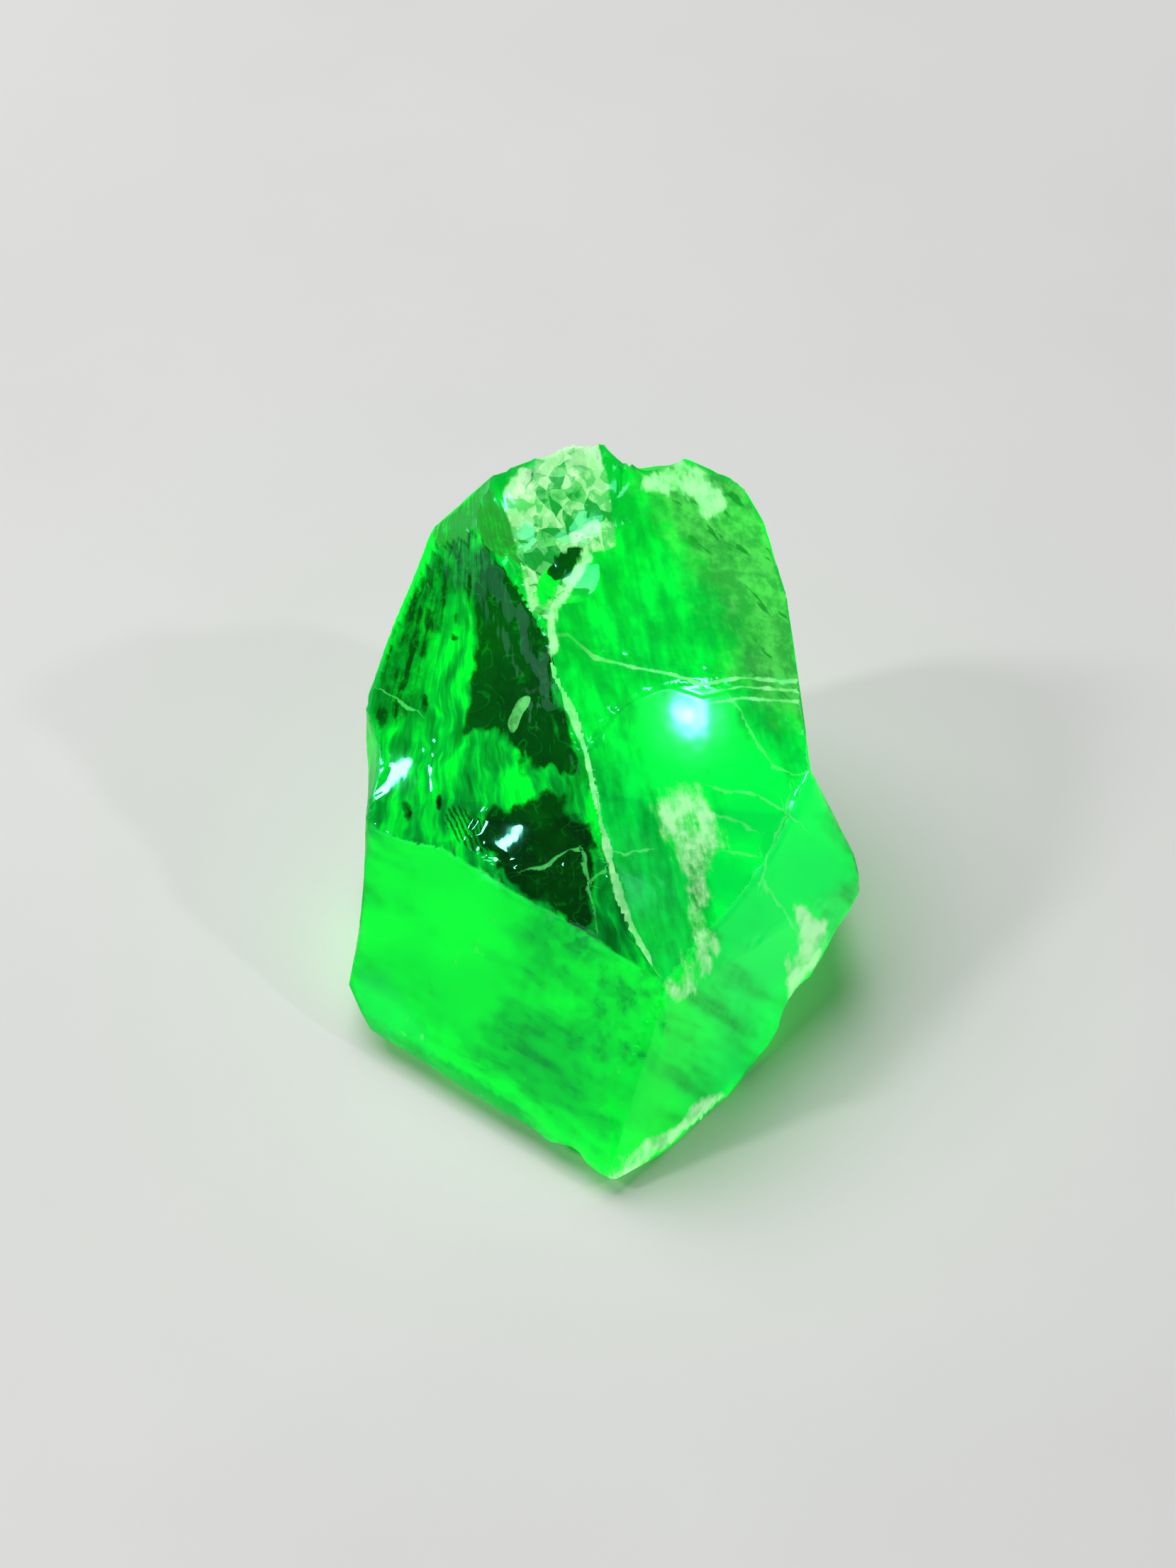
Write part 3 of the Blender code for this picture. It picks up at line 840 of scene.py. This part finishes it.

# %% [markdown]
# ## Clear green garnet
# Tsavorite bends light strongly and drinks its red and blue. So the body is one glassy shader
# with an index of 1.74, filled with a green absorbing volume. Nodes change only its tint, its gloss
# and its fine bumps from place to place, and the tint also drives a painted glow.

# %% Node helpers


class Nodes:
    """Adds nodes to one material: each call makes a node, sets its fields and joins or sets its inputs."""

    def __init__(self, material):
        material.use_nodes = True
        self.tree = material.node_tree
        self.tree.nodes.clear()

    def add(self, kind, fields=None, **inputs):
        """A new node. Input names are written with underscores; numbered ones as in_0."""
        node = self.tree.nodes.new("ShaderNode" + kind)
        for field, value in (fields or {}).items():
            setattr(node, field, value)
        for name, value in inputs.items():
            key = int(name[3:]) if name.startswith("in_") else name.replace("_", " ")
            if isinstance(value, bpy.types.NodeSocket):
                self.tree.links.new(value, node.inputs[key])
            else:
                node.inputs[key].default_value = value
        return node

    def mark(self, name):
        """A mark of the mesh, as a number."""
        return self.add("Attribute", {"attribute_name": name}).outputs["Fac"]

    def math(self, operation, a, b=0.0, c=0.0):
        """One step of arithmetic."""
        return self.add("Math", {"operation": operation}, in_0=a, in_1=b, in_2=c).outputs[0]

    def fold(self, operation, first, *others):
        """The same arithmetic over several values in turn."""
        for other in others:
            first = self.math(operation, first, other)
        return first

    def scaled(self, value, by, start=0.0):
        """The value made so many times larger, counted from the start."""
        return self.math("MULTIPLY_ADD", value, by, start)

    def swing(self, noise, height):
        """A noise about 0.5, brought to swing about 0 with the height."""
        return self.scaled(noise, height, -height / 2.0)

    def step(self, value, low, high, start=0.0, end=1.0):
        """Smooth step from start to end as the value goes from low to high."""
        fields = {"interpolation_type": "SMOOTHSTEP"}
        ends = {"From_Min": low, "From_Max": high, "To_Min": start, "To_Max": end}
        return self.add("MapRange", fields, Value=value, **ends).outputs["Result"]

    def noise(self, vector, scale, detail, rough=0.55, bend=0.0):
        """Fractal noise about 0.5."""
        settings = {"Scale": scale, "Detail": detail, "Roughness": rough, "Distortion": bend}
        return self.add("TexNoise", Vector=vector, **settings).outputs["Fac"]

    def stretch(self, vector, scale):
        """The same place, stretched along each axis."""
        return self.add("Mapping", Vector=vector, Scale=scale).outputs["Vector"]

    def turn(self, vector, angle):
        """The same place, turned in the sheet."""
        return self.add("Mapping", Vector=vector, Rotation=(0.0, 0.0, angle)).outputs["Vector"]

    def axis(self, vector, letter):
        """One of the three numbers of a place or a colour."""
        return self.add("SeparateXYZ", Vector=vector).outputs[letter]

    def mix(self, share, a, b):
        """Colour from a to b."""
        return self.add("Mix", {"data_type": "RGBA"}, in_0=share, in_6=a, in_7=b).outputs[2]


print("helpers ready")

# %% [markdown]
# ## Tints and the noises they share
# Few tints are enough: black-green and neon for the clear parts, laid on as painted shade and
# painted glow, murky greens for haze, and pale greens for crushed stone. Every layer bends its
# borders with the same clouds and flecks, so they look grown together.

# %% The stone's tints
BLACK_GREEN = (0.001, 0.014, 0.002, 1.0)
DEEP = (0.001, 0.100, 0.012, 1.0)
MIDDLE = (0.001, 0.300, 0.036, 1.0)
NEON = (0.001, 1.000, 0.045, 1.0)
COOL_NEON = (0.001, 0.950, 0.120, 1.0)
MURKY = (0.050, 0.240, 0.065, 1.0)
MISTY = (0.008, 0.560, 0.100, 1.0)
HAZY = (0.130, 0.480, 0.125, 1.0)
# The shoulder's painted shadow.
BROWN_GREEN = (0.030, 0.200, 0.034, 1.0)
DARK_CHIP = (0.015, 0.220, 0.050, 1.0)
CRUSHED = (0.150, 0.460, 0.190, 1.0)
PALE_CHIP = (0.460, 0.620, 0.420, 1.0)
WHITE_CHIP = (0.700, 0.760, 0.640, 1.0)
BRIGHT_LINE = (0.170, 0.950, 0.300, 1.0)
PALE = (0.250, 0.700, 0.290, 1.0)
WHITE = (0.620, 0.950, 0.600, 1.0)
GREEN_SHEEN = (0.14, 0.90, 0.62, 1.0)
THROUGH_GREEN = (0.02, 0.95, 0.10, 1.0)
print("the brightest tint is", NEON[:3])

# %% Noises that the tints and the gloss share
# Scale, detail and, where it isn't the usual one, roughness.
CLOUDS = (0.45, 2.0)
FLECKS = (2.2, 4.0, 0.65)
MOTTLE = (3.4, 2.0, 0.6)
WISPS = (1.0, 3.0, 0.6)
FAN_NOISE = (1.0, 2.0, 0.6)
FAN_BEND_NOISE, FAN_BEND = (0.8, 2.0), 2.6
MOTTLE_SWING = 1.3
# Turn on the sheet, and stretch across and up.
SLANTED = (0.55, (0.45, 1.7, 1.0))
UPRIGHT = (-0.25, (1.8, 0.45, 1.0))
# Streaks for each radian of the fan, and for each millimetre from its point.
BROAD_STREAKS = (13.0, 0.55)
FINE_STREAKS = (42.0, 0.80)


class Garnet(Nodes):
    """The stone's nodes, with the places and noises that several of its parts read."""

    def __init__(self, material):
        super().__init__(material)
        object_place = self.add("TexCoord").outputs["Object"]
        self.mm = self.stretch(object_place, (1.0 / MM, 1.0 / MM, 1.0 / MM))
        self.on_sheet = self.add("UVMap", {"uv_map": "sheet"}).outputs["UV"]
        self.across = self.axis(self.on_sheet, "X")
        self.clouds = self.noise(self.mm, *CLOUDS)
        self.flecks = self.noise(self.mm, *FLECKS)
        self.ragged = self.swing(self.flecks, 1.0)
        self.mottle = self.swing(self.noise(self.mm, *MOTTLE), MOTTLE_SWING)
        self.upright = self.turned_sheet(*UPRIGHT)
        slanted = self.noise(self.turned_sheet(*SLANTED), *WISPS)
        wisps = self.mix(self.mark("right"), slanted, self.noise(self.upright, *WISPS))
        self.wisps = self.mix(self.mark("shown"), self.clouds, wisps)
        self.broad, self.fine = self.fan_streaks()

    def turned_sheet(self, angle, scale):
        """The sheet, turned and then stretched."""
        return self.stretch(self.turn(self.on_sheet, angle), scale)

    def fan_streaks(self):
        """Noise over the angle and the distance from the fan's point, in broad and in fine streaks."""
        less = {"operation": "SUBTRACT"}
        from_fan = self.add("VectorMath", less, in_0=self.on_sheet, in_1=(*FAN, 0.0)).outputs[0]
        down = self.scaled(self.axis(from_fan, "Y"), -1.0)
        angle = self.math("ARCTAN2", self.axis(from_fan, "X"), down)
        far = self.add("VectorMath", {"operation": "LENGTH"}, in_0=from_fan).outputs["Value"]
        bend = self.scaled(self.noise(self.on_sheet, *FAN_BEND_NOISE), FAN_BEND)
        layers = []
        for across, along in (BROAD_STREAKS, FINE_STREAKS):
            x, y = self.scaled(angle, across, bend), self.scaled(far, along)
            layers.append(self.noise(self.add("CombineXYZ", X=x, Y=y).outputs[0], *FAN_NOISE))
        return layers


print("shared noises ready")

# %% [markdown]
# ## Layers of tint
# The tint is built up like paint: a neon body with painted glow and shade from the mark of light
# and darker clouds, cooler towards the lobe and curdled beside the front corner, then the window's
# streaks, whose tones are partly painted light, and black-green depths of painted shade, then haze,
# the crushed crest with the painted shade of its hole, and the pale marks. Each layer takes the tint
# so far and lays its own over it.

# %% The body's tint
CURDS = (1.9, 4.0, 0.68)
CURD_STEP, CURD_SHARE = (0.36, 0.56), 0.55
CLOUD_SWING, WISP_SWING = 0.8, 1.8
PLAIN_MOTTLE, FRONT_MOTTLE = 0.35, 0.55


def open_body(n):
    """Clouds, wisps and mottle lift or lower the mark of painted light, and curds lie over the front."""
    neon = n.mix(n.mark("cool"), NEON, COOL_NEON)
    light = n.fold("ADD", n.mark("light"), n.swing(n.clouds, CLOUD_SWING), n.swing(n.wisps, WISP_SWING))
    mottled = n.scaled(n.mark("texture"), FRONT_MOTTLE, PLAIN_MOTTLE)
    light = n.scaled(n.mottle, mottled, light)
    body = n.mix(n.step(light, 0.0, 1.0), MIDDLE, neon)
    curdled = n.mix(n.step(n.noise(n.mm, *CURDS), *CURD_STEP), MIDDLE, neon)
    return n.mix(n.scaled(n.mark("texture"), CURD_SHARE), body, curdled)


print("the body has curds of", round(1.0 / CURDS[0], 2), "mm")

# %% The window's tint
STREAK_SHARE, STREAK_CLOUDS = 0.55, 0.5
MIDDLE_STEP, NEON_STEP = (0.36, 0.56), (0.50, 0.72)
SWIRLS = (1.3, 0.0, 0.5, 2.6)
SWIRL_WIDTH, SWIRL_STRENGTH = 0.05, 0.56
SWIRL_BREAKS = (0.42, 0.58)
BROWN_STEP = (0.1, 0.4)
TORN_BY_STREAKS = 1.3
DARK_STEP = (0.25, 0.80)
TOOTH_TURN = -0.45
TEETH_STEEP, TEETH_RAGGED = 56.0, 12.0
TOOTH_STEP, TEETH_FADE = (0.0, 0.5), (0.1, 0.5, 0.0, 0.85)
LEAF_STEP, LEAF_FADE = (0.35, 0.6), (0.35, 0.6, 0.25, 0.8)


def streaked_window(n, body):
    """Broad and fine streaks in three tints, where the skin is the window's; their dark and neon tones are
    painted light bent through the clear shell.
    """
    both = n.scaled(n.fine, STREAK_SHARE, n.scaled(n.broad, STREAK_SHARE))
    bright = n.math("ADD", both, n.swing(n.clouds, STREAK_CLOUDS))
    streaked = n.mix(n.step(bright, *MIDDLE_STEP), DEEP, MIDDLE)
    streaked = n.mix(n.step(bright, *NEON_STEP), streaked, NEON)
    return n.mix(n.mark("window"), body, streaked)


def painted_dark_depths(n, body):
    """Painted shade: black-green where the mark of shade, torn by streaks and flecks, is high, and
    brown-green where the shoulder's painted shadow lies.
    """
    off_middle = n.math("ABSOLUTE", n.math("SUBTRACT", n.noise(n.on_sheet, *SWIRLS), 0.5))
    swirls = n.step(off_middle, 0.0, SWIRL_WIDTH, SWIRL_STRENGTH, 0.0)
    swirls = n.math("MULTIPLY", swirls, n.step(n.flecks, *SWIRL_BREAKS))
    depths = n.mix(swirls, BLACK_GREEN, DEEP)
    depths = n.mix(n.step(n.mark("shoulder"), *BROWN_STEP), depths, BROWN_GREEN)
    shade = n.fold("ADD", n.mark("shade"), n.swing(n.fine, TORN_BY_STREAKS), n.ragged)
    return n.mix(n.step(shade, *DARK_STEP), body, depths)


def teeth_and_leaf(n, body):
    """A row of dark teeth from a sine along the turned sheet, and a chip with a crescent edge."""
    along = n.axis(n.turn(n.on_sheet, TOOTH_TURN), "X")
    row = n.math("SINE", n.scaled(along, TEETH_STEEP, n.scaled(n.flecks, TEETH_RAGGED)))
    teeth = n.math("MULTIPLY", n.step(row, *TOOTH_STEP), n.step(n.mark("teeth"), *TEETH_FADE))
    body = n.mix(teeth, body, BLACK_GREEN)
    chip = n.step(n.math("ADD", n.mark("leaf"), n.ragged), *LEAF_STEP)
    return n.mix(n.math("MULTIPLY", chip, n.step(n.flecks, *LEAF_FADE)), body, PALE)


print("teeth", round(2.0 * math.pi / TEETH_STEEP, 3), "mm apart")

# %% Haze at the upper right, and mist at the left corner
HAZE_STEP, MURK_STEP = (0.1, 0.95), (0.30, 0.75)
HAZE_SHARE, MIST_SHARE = 0.9, 0.7
MIST_SPECKS = (3.6, 2.0)
PALE_SPECK_STEP, IN_MIST = (0.64, 0.70), (0.2, 0.8, 0.0, 0.5)
HAZE_SPECKS, SPECK_NOISE = (0.75, (1.2, 4.5, 1.0)), (1.0, 2.0)
DARK_SPECK_STEP, IN_HAZE = (0.60, 0.66), (0.5, 0.9, 0.0, 0.8)


def haze_share(n):
    """How hazy the skin is, ragged at its border."""
    return n.step(n.math("ADD", n.mark("haze"), n.ragged), *HAZE_STEP)


def hazy_body(n, body):
    """A murky, mottled haze with dark specks, and a paler mist with pale ones."""
    hazy = n.mix(n.step(n.math("ADD", n.mottle, n.wisps), *MURK_STEP), MURKY, HAZY)
    body = n.mix(n.scaled(haze_share(n), HAZE_SHARE), body, hazy)
    body = n.mix(n.scaled(n.mark("mist"), MIST_SHARE), body, MISTY)
    pale_specks = n.step(n.noise(n.mm, *MIST_SPECKS), *PALE_SPECK_STEP)
    body = n.mix(n.math("MULTIPLY", pale_specks, n.step(n.mark("mist"), *IN_MIST)), body, PALE)
    dark_specks = n.step(n.noise(n.turned_sheet(*HAZE_SPECKS), *SPECK_NOISE), *DARK_SPECK_STEP)
    return n.mix(n.math("MULTIPLY", dark_specks, n.step(n.mark("haze"), *IN_HAZE)), body, DEEP)


print("specks", round(1.0 / MIST_SPECKS[0], 2), "mm wide in the mist")

# %% The crushed crest's chips and the painted shade in its hollow
CHIP_CELLS = (0.95, 3.0)
CHIP_SHARES = (0.55, 0.50)
CHIP_BEND_SCALE, CHIP_BEND_DETAIL, CHIP_BEND = 1.6, 1.0, 0.45
RAGGED_TONE, RAGGED_CRUST, RAGGED_HOLE = 0.8, 0.8, 0.6
CRUST_STEP, HOLE_STEP = (0.3, 0.6), (0.35, 0.6)
CRUSHED_STEP, PALE_STEP = (0.33, 0.45), (0.53, 0.63)
RIM_FADE, WHITE_STEP = (0.3, 0.9, 0.18, 0.0), (0.76, 0.86, 0.0, 0.85)


def chip_tone(n):
    """Tones of large and small cells, whose borders are bent by noise, added up."""
    noise = n.add("TexNoise", Vector=n.mm, Scale=CHIP_BEND_SCALE, Detail=CHIP_BEND_DETAIL)
    bend = (CHIP_BEND, CHIP_BEND, CHIP_BEND)
    pushes = {"in_0": noise.outputs["Color"], "in_1": bend, "in_2": n.mm}
    bent = n.add("VectorMath", {"operation": "MULTIPLY_ADD"}, **pushes).outputs[0]
    tone = n.scaled(n.ragged, RAGGED_TONE)
    for cells, share in zip(CHIP_CELLS, CHIP_SHARES):
        colour = n.add("TexVoronoi", {"feature": "F1"}, Vector=bent, Scale=cells).outputs["Color"]
        tone = n.scaled(n.axis(colour, "X"), share, tone)
    return tone


def crust_share(n):
    """How crushed the skin is, ragged at its border."""
    return n.step(n.scaled(n.ragged, RAGGED_CRUST, n.mark("crust")), *CRUST_STEP)


def crushed_body(n, body):
    """Chips from dark to white by their tone, whiter towards the crust's rim, and painted shade in the dark
    hollow.
    """
    tone = chip_tone(n)
    chips = n.mix(n.step(tone, *CRUSHED_STEP), DARK_CHIP, CRUSHED)
    chips = n.mix(n.step(tone, *PALE_STEP), chips, PALE_CHIP)
    rimmed = n.math("ADD", tone, n.step(n.mark("crust"), *RIM_FADE))
    chips = n.mix(n.step(rimmed, *WHITE_STEP), chips, WHITE_CHIP)
    body = n.mix(crust_share(n), body, chips)
    # Black-green here is painted shade in the crest's hollow.
    hollow = n.step(n.scaled(n.ragged, RAGGED_HOLE, n.mark("hole_shade")), *HOLE_STEP)
    return n.mix(hollow, body, BLACK_GREEN)


print("chips", [round(1.0 / cells, 2) for cells in CHIP_CELLS], "mm wide")

# %% Frost, the worn ridge, the ledge's lines and bright veins
FROST_WISPS, FROST_SWING = (2.0, 3.0, 0.7), 1.6
FROST_RAGGED, FROST_STEP = 1.2, (0.35, 1.0)
WHITER_FROST, WHITE_FLECKS = 0.15, (0.42, 0.72)
LEDGE_LINES = (0.0, -0.20, -0.45)
FIRST_LINE, LATER_LINES = (-0.4, 1.4, 0.25, 1.0), (2.2, 3.2)
VEIN_RAGGED = 0.25
# How wide a line is at the darkest flecks, and how much wider at the palest, in millimetres.
RIDGE_WIDTH, LINE_WIDTH, VEIN_WIDTH = (0.015, 0.14), (-0.056, 0.15), (-0.072, 0.15)
# How wide a line's soft border is, and how strong the line.
RIDGE_EDGE, LINE_EDGE, VEIN_EDGE = (0.04, 1.0), (0.03, 0.8), (0.04, 0.6)


def line(n, gap, width, soft, strength):
    """Full strength within the width of the line, whose flecks fray it, and none past a soft border."""
    thin, wider = width
    past = n.math("SUBTRACT", gap, n.scaled(n.flecks, wider, thin))
    return n.step(past, 0.0, soft, strength, 0.0)


def pale_share(n):
    """Frost, ridge and ledge together: the first ledge line fades in from the left, the others later."""
    wispy = n.swing(n.noise(n.upright, *FROST_WISPS), FROST_SWING)
    wispy = n.scaled(n.ragged, FROST_RAGGED, wispy)
    frost = n.step(n.math("ADD", wispy, n.mark("frost")), *FROST_STEP)
    ridge = line(n, n.mark("ridge_gap"), RIDGE_WIDTH, *RIDGE_EDGE)
    lines = []
    for offset in LEDGE_LINES:
        gap = n.math("ABSOLUTE", n.math("SUBTRACT", n.mark("ledge_gap"), offset))
        lines.append(line(n, gap, LINE_WIDTH, *LINE_EDGE))
    first = n.math("MULTIPLY", lines[0], n.step(n.across, *FIRST_LINE))
    later = n.math("MULTIPLY", n.math("MAXIMUM", *lines[1:]), n.step(n.across, *LATER_LINES))
    return n.fold("MAXIMUM", frost, ridge, first, later)


def vein_share(n):
    """Thin bright lines with ragged sides."""
    gap = n.math("ABSOLUTE", n.scaled(n.ragged, VEIN_RAGGED, n.mark("vein_gap")))
    return n.math("MULTIPLY", line(n, gap, VEIN_WIDTH, *VEIN_EDGE), n.mark("vein_near"))


def pale_tint(n):
    """From pale to white with the flecks and the frost."""
    whiter = n.scaled(n.mark("frost"), WHITER_FROST, n.flecks)
    return n.mix(n.step(whiter, *WHITE_FLECKS), PALE, WHITE)


print(len(LEDGE_LINES), "lines at the ledge and", len(VEINS), "veins")

# %% [markdown]
# ## Gloss, bumps and the material
# A shell break is glossy and a flat one nearly matt, so the two mirror the table quite
# differently. Light that bounces about inside a stone takes long to trace, so a part of it is
# given as a glow in the stone's own tint.

# %% Gloss and fine bumps
MATT_FACES, GLOSSY_WINDOW, GLOSSY_RIGHT = 0.42, 0.06, 0.12
FROST_MATT, CRUST_SHARE, HAZE_MATT, PROW_MATT = 0.42, 0.4, 0.30, 0.36
MARK_STEP, CALM_FADE = (0.2, 0.8), (0.0, 0.6, 1.0, 0.1)
SHELL_STRETCH, SHELL_NOISE = (5.0, 1.3, 1.0), (1.0, 1.0)
BUMP_HEIGHT, BUMP_STRENGTH = 0.05 * MM, 0.5


def roughness(n, pale):
    """Matt faces, a glossy window and right side, and matt marks on them."""
    rough = n.step(n.mark("window"), *MARK_STEP, MATT_FACES, GLOSSY_WINDOW)
    rough = n.math("MINIMUM", rough, n.step(n.mark("right"), *MARK_STEP, 1.0, GLOSSY_RIGHT))
    marked = n.scaled(n.math("MAXIMUM", pale, n.scaled(crust_share(n), CRUST_SHARE)), FROST_MATT)
    hazy, dull = n.scaled(haze_share(n), HAZE_MATT), n.scaled(n.mark("dull"), PROW_MATT)
    return n.fold("MAXIMUM", rough, marked, hazy, dull)


def shell_bumps(n):
    """Long low waves on the window, all but gone on its calm places."""
    waves = n.noise(n.stretch(n.on_sheet, SHELL_STRETCH), *SHELL_NOISE)
    height = n.fold("MULTIPLY", waves, n.mark("window"), n.step(n.mark("calm"), *CALM_FADE))
    bump = n.add("Bump", Strength=BUMP_STRENGTH, Distance=BUMP_HEIGHT, Height=height)
    return bump.outputs["Normal"]


print("bumps up to", BUMP_HEIGHT / MM, "mm")

# %% The material
REFRACTION = 1.74
CLEAR = 0.85
GLOW = 0.55
ABSORPTION = 120.0


def garnet_material():
    """One Principled shader over an absorbing volume; marks and noise steer tint, gloss, glow and bumps."""
    material = bpy.data.materials.new("clear_green_garnet")
    material.cycles.emission_sampling = "NONE"
    n = Garnet(material)
    body = open_body(n)
    for layer in (streaked_window, painted_dark_depths, teeth_and_leaf, hazy_body, crushed_body):
        body = layer(n, body)
    pale = pale_share(n)
    tint = n.mix(pale, n.mix(vein_share(n), body, BRIGHT_LINE), pale_tint(n))

    settings = {"IOR": REFRACTION, "Transmission_Weight": CLEAR, "Emission_Strength": GLOW}
    shader = n.add("BsdfPrincipled", Specular_Tint=GREEN_SHEEN, **settings)
    sources = {
        "Base Color": tint,
        "Roughness": roughness(n, pale),
        "Normal": shell_bumps(n),
        "Emission Color": tint,
    }
    for socket, source in sources.items():
        n.tree.links.new(source, shader.inputs[socket])
    volume = n.add("VolumeAbsorption", Color=THROUGH_GREEN, Density=ABSORPTION)
    n.add("OutputMaterial", Surface=shader.outputs[0], Volume=volume.outputs[0])
    print(material.name, len(n.tree.nodes), "nodes")
    return material


stone.data.materials.append(garnet_material())

# %% [markdown]
# ## A pale table
# A small clear stone borrows its brightness from what lies under and around it. A plain, faintly
# mottled pale floor throws light back into the green without drawing attention to itself.

# %% The floor
FLOOR_HALF = 0.3
FLOOR_GREY, FLOOR_PALE = (0.58, 0.58, 0.57, 1.0), (0.66, 0.66, 0.65, 1.0)
FLOOR_MOTTLE = (60.0, 4.0)
FLOOR_MATT = 0.6


def floor_piece():
    """A flat square at the height of the stone's base."""
    corners = np.array([(-1, -1), (1, -1), (1, 1), (-1, 1)]) * FLOOR_HALF
    mesh = bpy.data.meshes.new("floor")
    mesh.from_pydata(np.column_stack([corners, np.zeros(4)]), [], [(0, 1, 2, 3)])
    material = bpy.data.materials.new("pale_table")
    n = Nodes(material)
    tint = n.mix(n.noise(n.add("TexCoord").outputs["Object"], *FLOOR_MOTTLE), FLOOR_GREY, FLOOR_PALE)
    shader = n.add("BsdfPrincipled", Base_Color=tint, Roughness=FLOOR_MATT)
    n.add("OutputMaterial", Surface=shader.outputs[0])
    mesh.materials.append(material)
    floor = bpy.data.objects.new("floor", mesh)
    bpy.context.scene.collection.objects.link(floor)
    return floor


floor_piece()
print("floor", 2 * FLOOR_HALF, "m wide")

# %% [markdown]
# ## Soft studio light
# Garnet shows its shape by highlights and its colour by the light that comes through it. A large
# soft lamp behind and to the left sends light through the stone. Two small ones each stand where
# a hollow mirrors them to the eye, which gives the hollow its bright glint.

# %% Lamps
MIDDLE_OF_STONE = (0.0, 0.0, 0.005)
SKY_PLACE = (-0.10, 0.14, 0.33)
GLINT_DISTANCE = 0.25
LEFT_GLINT = (-4.3, 0.15)
RIGHT_GLINT = (2.25, 1.55)


def soft_lamp(name, place, wide, tall, watts):
    """An oval area lamp at a place in metres, turned to the stone."""
    lamp = bpy.data.lights.new(name, "AREA")
    lamp.shape = "ELLIPSE"
    lamp.size = wide
    lamp.size_y = tall
    lamp.energy = watts
    holder = bpy.data.objects.new(name, lamp)
    holder.location = place
    aim = Vector(MIDDLE_OF_STONE) - Vector(place)
    holder.rotation_euler = aim.to_track_quat("-Z", "Y").to_euler()
    bpy.context.scene.collection.objects.link(holder)
    print(name, "at", [round(value, 3) for value in holder.location])


def mirror_place(spot, hollow):
    """Where a lamp shows in a hollow: the look at the spot, less twice its part along the normal,
    followed from there. A hollow's normal points to the middle of its ball."""
    miss = np.linalg.norm(sheet - spot, axis=1) + FAR * (kind != BREAKS.index(hollow))
    point = bare[miss.argmin()]
    normal = unit(BALLS[hollow][0] - point)
    look = unit(point - EYE)
    mirrored = look - 2.0 * (look @ normal) * normal
    return tuple(point * MM + mirrored * GLINT_DISTANCE)


soft_lamp("sky_lamp", SKY_PLACE, wide=0.36, tall=0.36, watts=1.5)
soft_lamp("left_glint", mirror_place(LEFT_GLINT, "window scoop"), wide=0.018, tall=0.050, watts=0.15)
soft_lamp("right_glint", mirror_place(RIGHT_GLINT, "middle scoop"), wide=0.014, tall=0.014, watts=0.07)

# %% The dim room around
ROOM_GREY = (0.05, 0.05, 0.05, 1.0)
world = bpy.data.worlds.new("soft_room")
world.use_nodes = True
world.node_tree.nodes["Background"].inputs["Color"].default_value = ROOM_GREY
bpy.context.scene.world = world
bpy.context.scene.view_settings.view_transform = "Standard"
print("room", world.name, "at", ROOM_GREY[0])

# %% [markdown]
# ## The camera
# The stone is looked at from above at 46 degrees, near enough for a little perspective. The eye
# is the same one that the sheet was drawn for.

# %% The camera
FOCAL_LENGTH = 85.0
SENSOR_WIDTH = 36.0
SHOWN_FROM, SHOWN_TO = 0.001, 10.0
lens = bpy.data.cameras.new("camera")
lens.lens = FOCAL_LENGTH
lens.sensor_width = SENSOR_WIDTH
lens.clip_start = SHOWN_FROM
lens.clip_end = SHOWN_TO
camera = bpy.data.objects.new("camera", lens)
camera.location = Vector(EYE) * MM
camera.rotation_euler = (math.pi / 2.0 - LOOK_DOWN, 0.0, 0.0)
bpy.context.scene.collection.objects.link(camera)
bpy.context.scene.camera = camera
print("camera at", [round(value, 4) for value in camera.location])
